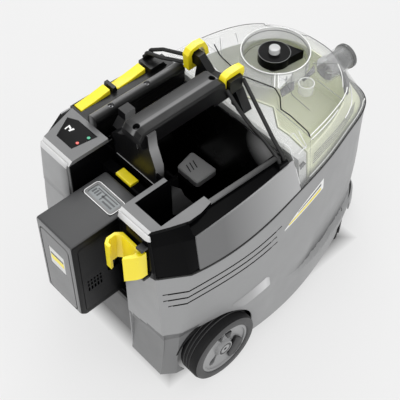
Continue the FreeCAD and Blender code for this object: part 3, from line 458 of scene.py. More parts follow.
def cylinder(center, axis, radius, low, high, n=72):
    """Corners and faces of a cylinder along y or z."""
    cx, cy = center
    place = {"y": lambda a, w: (cx + radius * math.cos(a), w, cy + radius * math.sin(a)),
             "z": lambda a, w: (cx + radius * math.cos(a), cy + radius * math.sin(a), w)}[axis]
    angles = [2 * math.pi * i / n for i in range(n)]
    verts = [place(a, low) for a in angles] + [place(a, high) for a in angles]
    faces = [list(range(n)), list(range(n, 2 * n))]
    faces += [(i, (i + 1) % n, n + (i + 1) % n, n + i) for i in range(n)]
    return verts, faces


def cuboid(x0, x1, y0, y1, z0, z1):
    """Corners and faces of a box."""
    verts = [(x, y, z) for x in (x0, x1) for y in (y0, y1) for z in (z0, z1)]
    return verts, [(0, 1, 3, 2), (4, 6, 7, 5), (0, 4, 5, 1), (2, 3, 7, 6), (0, 2, 6, 4), (1, 5, 7, 3)]


# ---- lower shell -------------------------------------------------------------------------------------
# Plan sections in millimetres: height, half width of the rear face, (x, y) along the side, x of the nose.
SECTIONS = (
    (24.0, 126.0, ((-205, 141), (-54, 164.5), (58, 158), (164, 130), (235, 104), (284, 72)), 298.0),
    (150.0, 134.0, ((-197, 150), (-60, 164.8), (55, 156), (155, 133), (226, 106), (269, 76)), 282.0),
    (283.0, 126.0, ((-182, 154), (-80, 164.5), (41, 150), (121, 135), (193, 115), (253, 89)), 270.0))
REAR = -225.0              # x of the rear faces
SHELL_TOP = 281.2
GROOVES = (218.0, 232.0, 246.0)
REAR_AXLE = (-134, 63)     # x and z of the rear wheels' axis
PLAIN, GROOVE, BAND, BELOW_BAND = range(4)      # material slots of the skin


def spline_points(knots, per_span):
    """Natural cubic spline through plan points, by chord length."""
    n = len(knots)
    t = [0.0]
    for a, b in zip(knots, knots[1:]):
        t.append(t[-1] + math.dist(a, b))
    columns = []
    for axis in (0, 1):
        y = [k[axis] for k in knots]
        h = [t[i + 1] - t[i] for i in range(n - 1)]
        low, mid, up, rhs = [0.0] * n, [1.0] * n, [0.0] * n, [0.0] * n
        for i in range(1, n - 1):
            low[i], mid[i], up[i] = h[i - 1], 2 * (h[i - 1] + h[i]), h[i]
            rhs[i] = 6 * ((y[i + 1] - y[i]) / h[i] - (y[i] - y[i - 1]) / h[i - 1])
        for i in range(1, n):
            w = low[i] / mid[i - 1]
            mid[i] -= w * up[i - 1]
            rhs[i] -= w * rhs[i - 1]
        m = [0.0] * n
        for i in range(n - 2, 0, -1):
            m[i] = (rhs[i] - up[i] * m[i + 1]) / mid[i]
        values = []
        for i in range(n - 1):
            for k in range(per_span):
                s = h[i] * k / per_span
                values.append(y[i] + s * ((y[i + 1] - y[i]) / h[i] - h[i] * (2 * m[i] + m[i + 1]) / 6)
                              + s * s * m[i] / 2 + s ** 3 * (m[i + 1] - m[i]) / (6 * h[i]))
        values.append(y[-1])
        columns.append(values)
    return list(zip(*columns))


def run(a, b, n):
    """Points between two plan points, without the ends."""
    return [(a[0] + (b[0] - a[0]) * k / n, a[1] + (b[1] - a[1]) * k / n) for k in range(1, n)]


def outline(section):
    """Plan loop: near side from the facet round the nose to the far facet, then the rear face."""
    _, half, stations, nose = section
    knots = [(x, -y) for x, y in stations] + [(nose, 0)] + [(x, y) for x, y in stations[::-1]]
    side = spline_points(knots, 9)
    far, near = (REAR, half), (REAR, -half)
    return side + run(side[-1], far, 6) + [far] + run(far, near, 16) + [near] + run(near, side[0], 6)


LOOPS = [outline(s) for s in SECTIONS]


def smoothstep(a, b, v):
    t = max(0.0, min(1.0, (v - a) / (b - a)))
    return t * t * (3 - 2 * t)


def lerp_table(table, v):
    """Straight lines through a table of (position, value), held at the ends."""
    if v <= table[0][0]:
        return table[0][1]
    for (a, fa), (b, fb) in zip(table, table[1:]):
        if v <= b:
            return fa + (fb - fa) * (v - a) / (b - a)
    return table[-1][1]


# Painted shade on the stepped band round the rear corners and on the shell below it.
BAND_SHADE = plastic("shell_shade_a", (0.125, 0.126, 0.128), 0.42, 0.04, 1400, 0.05, specular=0.35)
BELOW_BAND_SHADE = plastic("shell_shade_b", (0.185, 0.186, 0.188), 0.42, 0.04, 1400, 0.05, specular=0.35)
# Lower and upper edge of the hollow along the flank, as (x, z).
SWOOSH_LOW = [(5, 104), (25, 94), (55, 83), (80, 78), (125, 71), (178, 67), (222, 57), (300, 50)]
SWOOSH_HIGH = [(5, 122), (45, 114), (72, 122), (90, 146), (135, 150), (172, 166), (300, 190)]


def band_at(x, y):
    """Lower and upper edge of the stepped band round the rear corners."""
    if x < -224:
        low = 106 + (abs(y) - 58) * 0.357
    elif x < -175:
        low = 131 - (x + 224) * 0.18
    else:
        low = 122
    return low, low + 21


def rear_step(x, y, z):
    """The stepped band: the skin goes in toward the band's lower edge and comes out again to the foot."""
    depth, foot = 6.5, 24
    low, high = band_at(x, y)
    step = -depth * (1 - max(0.0, min(1.0, (z - low) / (high - low))))
    if z < low:
        step = -depth * max(0.0, (z - foot) / (low - foot))
    return step * (1 - smoothstep(-172, -126, x))


def arch_swell(x, z):
    """The swelling between the wheel arch and the hollow."""
    fade = smoothstep(-128, -80, x) * (1 - smoothstep(-34, -14, x))
    return 4.2 * fade * ((1 - smoothstep(122, 152, z)) if z > 122 else max(0.0, (z - 30) / 92))


def flank_hollow(x, z):
    """The hollow along the flank, crisp at its lower edge, and the rounded bulge under it."""
    low, high = lerp_table(SWOOSH_LOW, x), lerp_table(SWOOSH_HIGH, x)
    depth, edge = 8.5 * smoothstep(5, 120, x), 5
    out = 0.0
    if low < z < high:
        out -= depth * (1 - (z - low) / (high - low)) ** 1.6
    elif low - edge < z <= low:
        out -= depth * (z - low + edge) / edge
    bulge = smoothstep(20, 140, x) * (1 - smoothstep(180, 250, x))
    return out + 2.5 * bulge * math.exp(-((z - low + 22) / 22) ** 2)


def relief(x, y, z, in_groove):
    """How far the skin stands out (+) or in (-) from the plain form."""
    out = 0.0
    if x < -120:
        out += rear_step(x, y, z)
    if -128 < x < -12:
        out += arch_swell(x, z)
    if x > 5:
        out += flank_hollow(x, z)
    return out - 1.6 * in_groove


def loop_at(z):
    """Plan loop at a height: a parabola through the three sections at each point."""
    z0, z1, z2 = (s[0] for s in SECTIONS)
    w = ((z - z1) * (z - z2) / ((z0 - z1) * (z0 - z2)), (z - z0) * (z - z2) / ((z1 - z0) * (z1 - z2)),
         (z - z0) * (z - z1) / ((z2 - z0) * (z2 - z1)))
    return [tuple(sum(w[k] * LOOPS[k][i][c] for k in range(3)) for c in (0, 1)) for i in range(len(LOOPS[0]))]


def shell_tone(x, y, z):
    """Finish of a skin face: plain, or painted shade on and below the stepped band at the rear."""
    low, high = band_at(x, y) if x < -224 else (124.5, 143.5)
    if x < -165 and low < z < high:
        return BAND
    if x < -100 and z <= low:
        return BELOW_BAND
    return PLAIN


def skin_y(x, z, lift):
    """Y of the near skin at a station, lifted outward by so many millimetres."""
    loop = [p for p in loop_at(z) if p[1] < 0]
    for (xa, ya), (xb, yb) in zip(loop, loop[1:]):
        if xa <= x <= xb:
            return ya + (yb - ya) * (x - xa) / (xb - xa) - relief(x, ya, z, 0) - lift
    return loop[0][1]


def grid_faces(rows, columns):
    """Faces of a grid of points stored row by row."""
    n = columns + 1
    return [(r * n + c, r * n + c + 1, (r + 1) * n + c + 1, (r + 1) * n + c)
            for r in range(rows) for c in range(columns)]


def skin_patch(name, top, bottom, lift, mat):
    """A thin film that follows the near skin between two lines of (x, z)."""
    x0, x1 = max(top[0][0], bottom[0][0]), min(top[-1][0], bottom[-1][0])
    along, across = 24, 4
    verts = []
    for k in range(along + 1):
        x = x0 + (x1 - x0) * k / along
        za, zb = lerp_table(bottom, x), lerp_table(top, x)
        for m in range(across + 1):
            z = za + (zb - za) * m / across
            verts.append((x, skin_y(x, z, lift), z))
    piece(name, verts, grid_faces(along, across), [mat], "machine")


def side_tones():
    """The soft glint behind the rear wheel."""
    tone = ramped("shell_glint", (1, 0, 0), ((-107, 0.30), (-70, 0.40), (-40, 0.64), (-30, 0.50)), 0.36, 0.4)
    skin_patch("flank_glint", [(-107, 143), (-37, 150), (-31, 145)], [(-107, 137), (-88, 124), (-31, 129)],
               0.3, tone)


def decal():
    """A generic side label: a white field with a yellow bar and a dark line."""
    skin_patch("side_label", [(0, 231), (16, 238), (31, 243), (65, 250), (103, 254)],
               [(0, 228.5), (17, 229), (66, 230.5), (103, 232)], 0.25, WHITE)
    skin_patch("side_label_bar", [(10, 235), (96, 240)], [(10, 231.5), (96, 234)], 0.4, YELLOW)
    skin_patch("side_label_line", [(34, 241.5), (96, 248.5)], [(34, 240), (96, 244.5)], 0.4, DARK)


def flank_painted_shade():
    """Shell grey with painted shade, darker toward the crisp lower edge of the hollow along each flank."""
    mat = plastic("shell_flank_painted_shade", (0.30, 0.302, 0.305), 0.40, 0.04, 1400, 0.05, specular=0.4)
    nodes, links = mat.node_tree.nodes, mat.node_tree.links
    coord = nodes.new("ShaderNodeTexCoord")
    axes = nodes.new("ShaderNodeSeparateXYZ")
    links.new(coord.outputs["Object"], axes.inputs[0])
    along = ranged(nodes, links, axes.outputs["X"], 0, 1, 0.0, 0.3)

    def edge_height(table):
        return colour_steps(nodes, links, along, [(x / 300, (z * MM, z * MM, z * MM)) for x, z in table])

    depth = nodes.new("ShaderNodeMapRange")
    depth.inputs["To Min"].default_value = 1
    depth.inputs["To Max"].default_value = 0
    links.new(axes.outputs["Z"], depth.inputs["Value"])
    links.new(edge_height(SWOOSH_LOW), depth.inputs["From Min"])
    links.new(edge_height(SWOOSH_HIGH), depth.inputs["From Max"])
    above = nodes.new("ShaderNodeMath")
    above.operation = "GREATER_THAN"
    links.new(axes.outputs["Z"], above.inputs[0])
    links.new(edge_height(SWOOSH_LOW), above.inputs[1])
    factor = above.outputs["Value"]
    fades = (depth.outputs["Result"], ranged(nodes, links, axes.outputs["X"], 0, 0.8, 0.008, 0.075),
             ranged(nodes, links, axes.outputs["X"], 1, 0, 0.20, 0.27))
    for fade in fades:
        product = nodes.new("ShaderNodeMath")
        product.operation = "MULTIPLY"
        links.new(factor, product.inputs[0])
        links.new(fade, product.inputs[1])
        factor = product.outputs["Value"]
    return recolour(mat, tinted(nodes, links, factor, (0.30, 0.302, 0.305), (0.085, 0.086, 0.088)))


def skin_levels():
    """Heights of the skin's rings: even steps, with two close pairs at the edges of each groove."""
    levels = sorted({24 + 3.7 * k for k in range(70)} | {SHELL_TOP})
    levels = [z for z in levels if z <= SHELL_TOP and all(abs(z - g - 1) > 2.4 for g in GROOVES)]
    for g in GROOVES:
        levels += [g - 0.6, g - 0.4, g + 2.4, g + 2.6]
    return sorted(levels)


def skin_ring(z):
    """Points round the skin at a height, moved by the relief, and which of them lie in a groove."""
    base = loop_at(z)
    at_groove = any(g - 0.5 < z < g + 2.5 for g in GROOVES)
    ring_points, flags = [], []
    for i, (x, y) in enumerate(base):
        (xa, ya), (xb, yb) = base[i - 1], base[(i + 1) % len(base)]
        length = math.hypot(xb - xa, yb - ya)
        nx, ny = (yb - ya) / length, -(xb - xa) / length
        flags.append(1 if at_groove and -213 < x < -20 else 0)
        d = relief(x, y, z, flags[-1])
        ring_points.append((x + nx * d, y + ny * d, z))
    return ring_points, flags


def build_shell():
    """The flared lower body with its grooves, stepped band, flank hollow and openings."""
    rings, flags = zip(*(skin_ring(z) for z in skin_levels()))
    n = len(rings[0])
    verts = [v for points in rings for v in points]
    faces, tags = [], []
    for r in range(len(rings) - 1):
        for i in range(n):
            j = (i + 1) % n
            corners = ((r, i), (r, j), (r + 1, i), (r + 1, j))
            faces.append((r * n + i, r * n + j, (r + 1) * n + j, (r + 1) * n + i))
            centre = [sum(rings[a][b][c] for a, b in corners) / 4 for c in range(3)]
            inside = sum(flags[a][b] for a, b in corners)
            tags.append(GROOVE if inside >= 2 else shell_tone(*centre))
    finishes_by_slot = [flank_painted_shade(), MATT_BLACK, BAND_SHADE, BELOW_BAND_SHADE]
    shell = piece("shell_skin", verts, faces, finishes_by_slot, "machine", 24, tags)
    fix_normals(shell)
    walled(shell, 2.2, -1)
    battery_gap = cuboid(REAR - 12, REAR + 10, -57, 57, 0, 400)
    boolean(shell, cutter(*battery_gap))
    for side in (-1, 1):
        low, high = sorted((side * 118, side * 190))
        boolean(shell, cutter(*cylinder(REAR_AXLE, "y", 68.5, low, high, 96)))
        boolean(shell, cutter(*cylinder((207, side * 103), "z", 37, 0, 47.5)))
    shade(shell, 24)
    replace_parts(shell, "outer_shell")


def upper_half_width(z):
    """Half width of the rear face of the body above the belt."""
    return 126 - 9 * ((z - 283.0) / 89.0)


def rear_pillars():
    """Rear faces of the two pillars beside the battery, and the inner cheeks that return along it."""
    for side, tag in ((-1, "near"), (1, "far")):
        rows = []
        for z in (284.4, 300, 320, 340, 355, 361.5, 364.5, 366.6, 368.2):
            half = upper_half_width(z)
            lean = 0.0 if z < 361 else ((z - 361) / 7.2) ** 2 * 3.2
            rows.append([(REAR + lean, side * 57.2, z), (REAR + lean, side * 75, z),
                         (REAR + lean, side * (half - 5), z), (REAR + 0.8 + lean, side * (half - 1.6), z),
                         (REAR + 3.2, side * (half + 0.9), z)])
        verts = [v for row in rows for v in row]
        spans, bays = len(rows[0]) - 1, len(rows) - 1
        # Painted shade: the near pillar's face is gloss black where it lies in shade, the far one is shell
        # grey; the leaning top rows take the painted highlight.
        face_mats = [GLOSS if side < 0 else SHELL, LIP_HIGHLIGHT]
        tags = [0 if r < 5 else 1 for r in range(bays) for _ in range(spans)]
        pillar = piece("pillar_" + tag, verts, grid_faces(bays, spans), face_mats, "machine", 30, tags)
        fix_normals(pillar)
        walled(pillar, 2.4, 1)
        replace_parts(pillar, "outer_shell")
        low, high = sorted((side * 57.2, side * 59.6))
        cheek = [(REAR + 0.6, 26), (REAR + 22, 26), (REAR + 22, 365), (REAR + 3, 365), (REAR + 0.6, 361)]
        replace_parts(slab("cheek_" + tag, cheek, "y", low, high, SHELL, "machine", 0.6), "outer_shell")


# ---- tones within one moulding ------------------------------------------------------------------------
def facing(obj, mats, choose=lambda normal, centre: 0):
    """Gives each face of a mesh one of several finishes, by its normal and centre (mm)."""
    mesh = obj.data
    mesh.materials.clear()
    for mat in mats:
        mesh.materials.append(mat)
    for poly in mesh.polygons:
        poly.material_index = choose(poly.normal, poly.center / MM)


def ramped(name, direction, stops, rough=0.35, specular=0.4):
    """Tone that follows a profile across a moulding: stops are (millimetres along the direction, tone)."""
    mat = plastic(name, (0.01, 0.01, 0.01), rough, 0.04, 1300, 0.04, specular=specular)
    nodes, links = mat.node_tree.nodes, mat.node_tree.links
    low, high = stops[0][0] * MM, stops[-1][0] * MM
    span = ranged(nodes, links, against(nodes, links, "DOT_PRODUCT", direction), 0, 1, low, high)
    steps = [((place * MM - low) / (high - low), (tone, tone, tone * 1.01)) for place, tone in stops]
    return recolour(mat, colour_steps(nodes, links, span, steps))


def spotted(name, centre, near, far, tone):
    """Dark gloss with a soft painted reflection round a point."""
    mat = plastic(name, (0.002, 0.002, 0.002), 0.25, 0.04, 600, 0.02, specular=0.15)
    nodes, links = mat.node_tree.nodes, mat.node_tree.links
    span = ranged(nodes, links, against(nodes, links, "DISTANCE", centre), 1, 0, near, far)
    return recolour(mat, tinted(nodes, links, span, (0.002, 0.002, 0.002), (tone, tone, tone)))


def finishes():
    """Finishes that follow the shape of one moulding: painted sheens, pale lips as painted highlights, tyre
    walls and lamps.
    """
    # Painted sheen over the beam's top, with painted highlight lines across its top and along its far edge.
    beam = ramped("handle_painted_sheen", (0, 1, 0),
                  ((-20, 0.002), (-6, 0.002), (-3.5, 0.17), (0, 0.14), (2, 0.06), (7, 0.03), (13, 0.008),
                   (18.6, 0.006), (19, 0.16), (20, 0.16)), 0.4, 0.25)
    facing(NODES["handle_beam"], [beam, SATIN_BLACK], lambda n, c: 0 if n.z > 0.3 else 1)
    leg = ramped("leg_sheen", (0, 0, 1), ((340, 0.01), (365, 0.16), (400, 0.3), (425, 0.12)), 0.4, 0.3)
    facing(NODES["handle_rear_leg"], [SATIN_BLACK, leg], lambda n, c: 1 if n.y < -0.6 and c.z > 342 else 0)

    # The chamfer along the rear, facing back and up, takes the painted highlight.
    def deck_tone(n, c):
        if n.x < -0.3 and c.x < -214 and n.z > 0.2:
            return 1
        return 2 if c.y < 0 and n.y < -0.4 else 0

    facing(NODES["rear_deck"], [DECK, LIP_HIGHLIGHT, GLOSS], deck_tone)
    glow = spotted("bin_sheen", (0.016, -0.100, 0.342), 0.006, 0.046, 0.30)
    facing(NODES["storage_bin"], [GLOSS, glow], lambda n, c: 1 if n.x < -0.9 and c.x > -10 else 0)
    panel = ramped("panel_tone", (0, 0, 1), ((26, 0.13), (108, 0.085), (112, 0.005), (157, 0.005)), 0.4, 0.3)
    facing(NODES["lower_panel"], [panel])
    for tyre, side in (("tyre_near", -1), ("tyre_far", 1)):
        facing(NODES[tyre], [TYRE, SIDEWALL], lambda n, c: 1 if n.y * side > 0.55 else 0)
    facing(NODES["status_leds"], [LED_RED, LED_GREEN], lambda n, c: 0 if c.x < -184 else 1)
    rail = ramped("rail_black", (0, 1, 0),
                  ((80, 0.004), (86, 0.01), (91, 0.13), (95, 0.2), (98, 0.01), (100, 0.004)), 0.35, 0.3)
    facing(NODES["console_rail"], [rail])


# ---- outlines and flat pieces ------------------------------------------------------------------------
def rounded(a0, a1, b0, b1, r, n=5):
    """Rounded rectangle outline."""
    pts = []
    for ca, cb, start in ((a1 - r, b1 - r, 0), (a0 + r, b1 - r, 90), (a0 + r, b0 + r, 180),
                          (a1 - r, b0 + r, 270)):
        for k in range(n + 1):
            angle = math.radians(start + 90 * k / n)
            pts.append((ca + r * math.cos(angle), cb + r * math.sin(angle)))
    return pts


def rect(a0, a1, b0, b1):
    return [(a0, b0), (a1, b0), (a1, b1), (a0, b1)]


def ring(name, place, outer, inner, low, high, mat, body):
    """A flat frame between two outlines with the same count of points."""
    n = len(outer)
    verts = [place(a, b, w) for loop in (outer, inner) for w in (low, high) for a, b in loop]
    faces = []
    for i in range(n):
        j = (i + 1) % n
        faces += [(i, j, n + j, n + i), (2 * n + i, 3 * n + i, 3 * n + j, 2 * n + j),
                  (n + i, n + j, 3 * n + j, 3 * n + i), (i, 2 * n + i, 2 * n + j, j)]
    fix_normals(piece(name, verts, faces, [mat], body))


def plate(name, corners, z, thick, mat, body):
    """A level plate with its top at z."""
    slab(name, corners, "z", z - thick, z, mat, body)


# ---- battery -----------------------------------------------------------------------------------------
BATTERY_END_X, BATTERY_FRONT_X, BATTERY_HALF, BATTERY_TOP = -298, -172, 40, 332


def battery_case():
    """Rounded case with pockets for the display frame, the end label and the contact block."""
    profile = [(BATTERY_END_X, 173), (-289, 164), (BATTERY_FRONT_X, 164), (BATTERY_FRONT_X, BATTERY_TOP),
               (BATTERY_END_X, BATTERY_TOP)]
    skin = slab("battery_skin", profile, "y", -BATTERY_HALF, BATTERY_HALF, BATTERY, "battery")
    bevelled(skin, 4.5, 4)
    display, label, contacts = ((-222.3, -191.7, -31.3, 31.3, 329, 340),
                                (-300, -297.2, -17.3, 17.3, 249.7, 288.3), (-176, -171, -16, 16, 174, 214))
    for pocket in (display, label, contacts):
        boolean(skin, cutter(*cuboid(*pocket)))
    # Painted light and shade: the sides get a darker copy of the case grey and the end a lighter one.
    facing(skin, [BATTERY, BATTERY_SIDE_SHADE, BATTERY_END_LIGHT],
           lambda n, c: 1 if abs(n.y) > 0.72 else (2 if n.x < -0.75 else 0))
    shade(skin, 40)
    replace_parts(skin, "battery_case")


def battery_marks():
    """Fine borders on the case, and generic shapes for the labels and the display's signs."""
    def on_end(a, b, w):
        return BATTERY_END_X + w, a, b

    def on_side(a, b, w):
        return a, -BATTERY_HALF + w, b

    def on_top(a, b, w):
        return a, b, BATTERY_TOP + w

    ring("end_border", on_end, rounded(-33, 33, 176, 321, 9), rounded(-31.2, 31.2, 177.8, 319.2, 7.4),
         0.0, 0.9, BATTERY, "battery")
    ring("side_border", on_side, rounded(-288, -182, 174, 320, 6), rounded(-287, -183, 175, 319, 5),
         0.0, 0.9, BATTERY, "battery")
    mark = [(-238, 238), (-230, 240), (-227, 250), (-231, 257), (-237, 252), (-233, 247)]
    for name, shape, axis, low, high, mat in (
            ("end_label_bar", rect(-14.5, 14.5, 262, 272), "x", -297.95, -297.6, YELLOW),
            ("end_label_line", rect(-14.5, 14.5, 273.5, 276.5), "x", -297.95, -297.6, DARK),
            ("side_label", rect(-242, -222, 232, 262), "y", -40.0, -39.6, LABEL),
            ("side_label_mark", mark, "y", -40.05, -39.7, DARK)):
        slab(name, shape, axis, low, high, mat, "battery")
    for k in range(5):
        x = -279 + 5.5 * k
        for low, high in ((216, 224), (227, 233), (236, 240)):
            slab("side_mark", rect(x, x + 3, low, high), "y", -40.0, -39.6, WHITE, "battery")
    for k, sides in enumerate(((-214, -211, -22, -2), (-208, -205, -22, 6), (-214, -200, 2, 4),
                               (-212, -203, 10, 13), (-212, -203, 15, 18), (-212, -203, 20, 23),
                               (-202, -200, -22, 20))):
        slab("lcd_mark_%d" % k, rect(*sides), "z", 331.6, 332.15, LCD_INK, "battery")
    # A painted highlight along the display frame's edge.
    ring("bezel_line", on_top, rounded(-222, -192, -31, 31, 6), rounded(-221, -193, -30, 30, 5),
         0.9, 1.35, HILITE, "battery")


# ---- clear end ---------------------------------------------------------------------------------------
WELL = (155, 24)           # axis of the round well in the lid
FLOAT_AXIS = (163.5, 34)
PIPE = (155, -44)          # axis of the short upright pipe
LID_TOP = 371


def at(z, pairs):
    return [(x, y, z) for x, y in pairs]


def on_surface(node, row):
    """Points along a line in millimetres, each moved to the nearest place on a packed moulding."""
    steps = 6
    points = []
    for a, b in zip(row, row[1:]):
        points += [Vector(a).lerp(Vector(b), k / steps) for k in range(steps)]
    points.append(Vector(row[-1]))
    obj = NODES[node]
    inverse = obj.matrix_world.inverted()
    return [obj.matrix_world @ obj.closest_point_on_mesh(inverse @ (p * MM))[1] / MM for p in points]


def lines(prefix, rows, radius, mat, body, node=None):
    """Fine lines through millimetre points, laid on a packed moulding where one is named."""
    for k, row in enumerate(rows):
        path = on_surface(node, row) if node else row
        tube("%s_%d" % (prefix, k), path, radius, mat, body, smooth=not node and len(row) > 2)


def circle(centre, z, radius, count=48):
    """Points round a level circle, with the first one again at the end."""
    angles = [2 * math.pi * k / count for k in range(count + 1)]
    return [(centre[0] + radius * math.cos(a), centre[1] + radius * math.sin(a), z) for a in angles]


def rim(name, centre, z, radius, thick, mat, count=48):
    tube(name, circle(centre, z, radius, count), thick, mat, "lid", smooth=False, cap=False)


def clear_wall(name, centre, radius, low, high, count):
    """An open upright tube of clear plastic."""
    verts = circle(centre, low, radius, count)[:-1] + circle(centre, high, radius, count)[:-1]
    faces = [(k, (k + 1) % count, count + (k + 1) % count, count + k) for k in range(count)]
    piece(name, verts, faces, [CLEAR_THICK], "lid")


def well_and_lid_lines():
    """Rims of the well and the float housing, and the lid's seam, ribs and edge."""
    # The white rims and ribs are painted highlights; the grey and dark lines are painted shade along the
    # edges of the clear plastic.
    rim("well_rim", WELL, 373.9, 53.9, 1.0, HILITE)
    rim("well_rim_inner", WELL, 369.4, 51.6, 0.6, EDGE_GREY_SHADE)
    clear_wall("well_wall", WELL, 53.6, 350, 373, 64)
    rim("well_foot", WELL, 344.5, 51.2, 0.5, EDGE_GREY_SHADE)
    rim("float_rim", FLOAT_AXIS, 358.6, 25.5, 0.5, EDGE_GREY_SHADE)
    seam = ((95.5, 98.6), (86.7, 78.8), (79.5, 51.5), (79.6, 17.8), (84.7, -12.7), (95, -35.2), (88.1, -51.2),
            (71, -70), (71.5, -90), (67, -104.7), (64, -125.5), (64, -140))
    lines("seam", [at(371.4, seam)], 0.95, FLOAT_BLACK, "lid", "clear_lid")
    ribs = [at(371.2, ((118.6, -10.7), (95.7, -32.3))), at(371.2, ((122.3, -14), (99.6, -36.4))),
            at(370.6, ((66, -138), (107, -131.5), (161.5, -120), (192, -108)))]
    lines("lid_rib", ribs, 0.9, HILITE, "lid", "clear_lid")
    edge = ((97.7, 131.5), (134.4, 121), (163.5, 108), (187.8, 92.5), (194.5, 79), (222, 17), (230, -12),
            (228, -33))
    lines("lid_edge", [at(366, edge)], 0.55, EDGE_SHADE, "lid", "clear_lid")
    low_rib = ((66, -141), (97.8, -137.4), (141.6, -127))
    lines("lid_low_rib", [at(364, low_rib)], 0.8, HILITE, "lid", "clear_lid")


def tank_lines():
    edge = ((212.1, -35.7), (228, -51.6), (221, -76.7), (199, -101), (181, -114), (160, -122))
    lines("tank_edge", [at(331.5, edge)], 1.0, HILITE, "tank")
    lines("tank_line", [at(331, ((189.1, -35.2), (186.2, -95.8))), at(331, ((98, -38), (92, -120)))],
          0.5, EDGE_GREY_SHADE, "tank")


def lid_inside():
    """Dark duct, plates and webs under the lid, the clear pipe and the level ribs on the near side."""
    duct = ((212, -30), (223, -34), (228, -43), (224, -57), (209, -77), (197, -90))
    lines("channel", [at(337, duct)], 3.6, FLOAT_BLACK, "lid")
    wide, hole = [[(x, y) for x, y, z in circle(centre, 0, radius)[:-1]]
                  for centre, radius in ((WELL, 50.5), (FLOAT_AXIS, 9))]
    # Known fault: piece() scales to metres as well, so this plate comes out a thousand times too small.
    ring("well_floor", lambda x, y, z: (x * MM, y * MM, z * MM), wide, hole, 343, 343.6, CLEAR_THICK, "lid")
    for name, corners, top, thick, mat in (
            ("web_white", [(132, -4.5), (150.2, -21.2), (108.3, -30.3)], 360, 1.2, HILITE),
            ("web_dark_a", [(114.2, -27.4), (106.1, -39.6), (131.4, -40.2), (149.6, -23.5)],
             352, 1.5, EDGE_SHADE),
            ("web_dark_b", [(157.4, -32), (156.9, -37), (185, -34), (195, -22)], 350, 1.5, EDGE_SHADE),
            ("web_black", [(193.5, -29.9), (188.9, -49.4), (210.5, -35.3)], 345, 1.5, FLOAT_BLACK),
            ("web_grey", [(201.4, -23), (188.4, -32.8), (212.4, -34.4), (216, -24)], 358, 1.5, EDGE_GREY_SHADE)):
        plate(name, corners, top, thick, mat, "lid")
    rim("pipe_rim", PIPE, 352, 12, 0.8, HILITE, 40)
    clear_wall("pipe_wall", PIPE, 12, 334, 352, 40)
    side = ((80, -134.5), (110, -129), (160.5, -119), (205, -103))
    lines("side_rib", [at(z, side) for z in range(300, 321, 5)], 0.5, EDGE_GREY_SHADE, "lid")


def cover_lines():
    """Ribs on the fixed rear cover and the dark plate behind its near end."""
    ribs = [at(350, ((43.8, -105.3), (53, -118), (58, -128))), at(352, ((60, -115.9), (39.9, -138))),
            ((27, -118, 371), (28, -132, 366), (30, -144, 330), (33, -148.6, 296))]
    lines("cover_rib", ribs, 0.7, HILITE, "machine", "rear_cover")
    plate("cover_dark", [(58, -120.4), (42.7, -142), (58, -139)], 320, 1.0, EDGE_SHADE, "machine")


def lid_reflections():
    """Uprights on the well's wall and the last fine lines of the lid's top."""
    uprights = [((130, -24.6, 350), (130, -24.6, 370))]
    for x in (112, 138, 168):
        y = WELL[1] - math.sqrt(55.3 ** 2 - (x - WELL[0]) ** 2)
        uprights.append(((x, y, 372), (x, y, 350)))
    lines("well_mark", uprights, 0.6, EDGE_GREY_SHADE, "lid", "clear_lid")
    nose = [at(LID_TOP, ((176, -34), (205, -60))), at(LID_TOP, ((120, -30), (104, -62), (100, -100)))]
    lines("nose_line", nose, 0.5, EDGE_GREY_SHADE, "lid", "clear_lid")
    lines("lid_glint", [at(LID_TOP, ((176, -100), (196, -76), (205, -60)))], 0.6, HILITE, "lid", "clear_lid")
    arches = [at(357, ((124.3, 115), (112.9, 104), (98, 84))), at(357, ((150, 108), (146.9, 100), (140, 92)))]
    lines("far_arch", arches, 0.6, EDGE_GREY_SHADE, "lid")


# ---- marks -------------------------------------------------------------------------------------------
BAY_X = -142.0             # x of the front wall of the battery bay
HUB_FACE = 177.6           # y of the outer faces of the wheel hubs


def panel_marks():
    """Three strokes on the control panel, in place of its pictogram."""
    for tag, corners in (("a", [(-184, 103), (-176, 101), (-176, 104), (-184, 106)]),
                         ("b", [(-181, 106), (-178, 106), (-176, 113), (-179, 113)]),
                         ("c", [(-186, 110), (-180, 111), (-180, 113), (-186, 112)])):
        plate("lamp_sign_" + tag, corners, 372.0, 0.7, WHITE, "machine")


def hub_rings():
    x, z = REAR_AXLE
    for name, side, body in (("hub_cap_ring", -1, "wheel_near"), ("hub_cap_ring_far", 1, "wheel_far")):
        outer, inner = (rounded(x - r, x + r, z - r, z + r, r - 0.1, 8) for r in (12, 8.5))
        ring(name, lambda a, b, w: (a, side * (HUB_FACE - w), b), outer, inner, 0.0, 0.8, DARK, body)


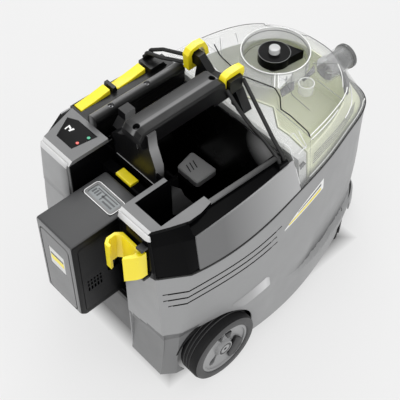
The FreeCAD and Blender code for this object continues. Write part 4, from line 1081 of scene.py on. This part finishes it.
def hub_windows():
    # The dark slabs on each hub face are painted shade in the hub's openings.
    wide = [(-109, 70.6), (-98, 56), (-98, 38), (-112.5, 26), (-124, 27), (-127, 42.7), (-118.6, 56)]
    top = [(-134, 104), (-121, 100), (-124, 86), (-129, 87.5)]
    for side, body in ((-1, "wheel_near"), (1, "wheel_far")):
        low, high = sorted((side * 177.7, side * 172))
        slab("hub_window_wide", wide, "y", low, high, DARK, body, 0.8)
        slab("hub_window_top", top, "y", low, high, DARK, body, 0.8)


def marks():
    panel_marks()
    hub_rings()
    web = ramped("web_grey_sheen", (0, 0, 1), ((266, 0.05), (300, 0.15), (335, 0.11), (357, 0.02)), 0.4, 0.3)
    gusset = [(-136, 357), (-118.6, 336), (-113, 318), (-88, 272), (-106, 269), (-136, 294)]
    slab("pocket_web", gusset, "y", -63.6, -62.4, web, "machine")
    hub_windows()
    for k in range(3):
        x = 7 * k
        stroke = [(-24 + x, 24), (-22 + x, 24), (-17 + x, 40), (-19 + x, 40)]
        plate("knob_mark", stroke, 226.1, 0.3, DARK, "knob")
    glint = [(x, skin_y(x, 283, -4), 287.5) for x in (64, 90, 120, 150, 180, 210, 235, 250)]
    lines("belt_glint", [glint], 0.8, HILITE, "lid", "clear_lid")
    sheen = ramped("rim_sheen", (1, 0, 0), ((-140, 0.15), (-80, 0.07), (-30, 0.025), (8, 0.012)), 0.4, 0.3)
    bin_rim = [(-140, -119.5), (-78, -121.5), (8, -125), (8, -133), (-78, -130), (-132, -128)]
    slab("bin_rim", bin_rim, "z", 362.5, 366.4, sheen, "machine", 1.4)
    # A painted highlight along the top edge of the bay's front wall.
    lines("bay_edge", [((BAY_X - 0.2, -36, 338.2), (BAY_X - 0.2, 50, 338.2))], 0.6, BAY_EDGE_HIGHLIGHT, "machine")


stage()
camera()
bpy.context.scene.view_settings.view_transform = "Standard"
bpy.context.scene.cycles.transparent_max_bounces = 24
finishes()
for node in NODES:
    dress(node)
build_shell()
rear_pillars()
battery_case()
battery_marks()
well_and_lid_lines()
tank_lines()
lid_inside()
cover_lines()
lid_reflections()
marks()
decal()
side_tones()
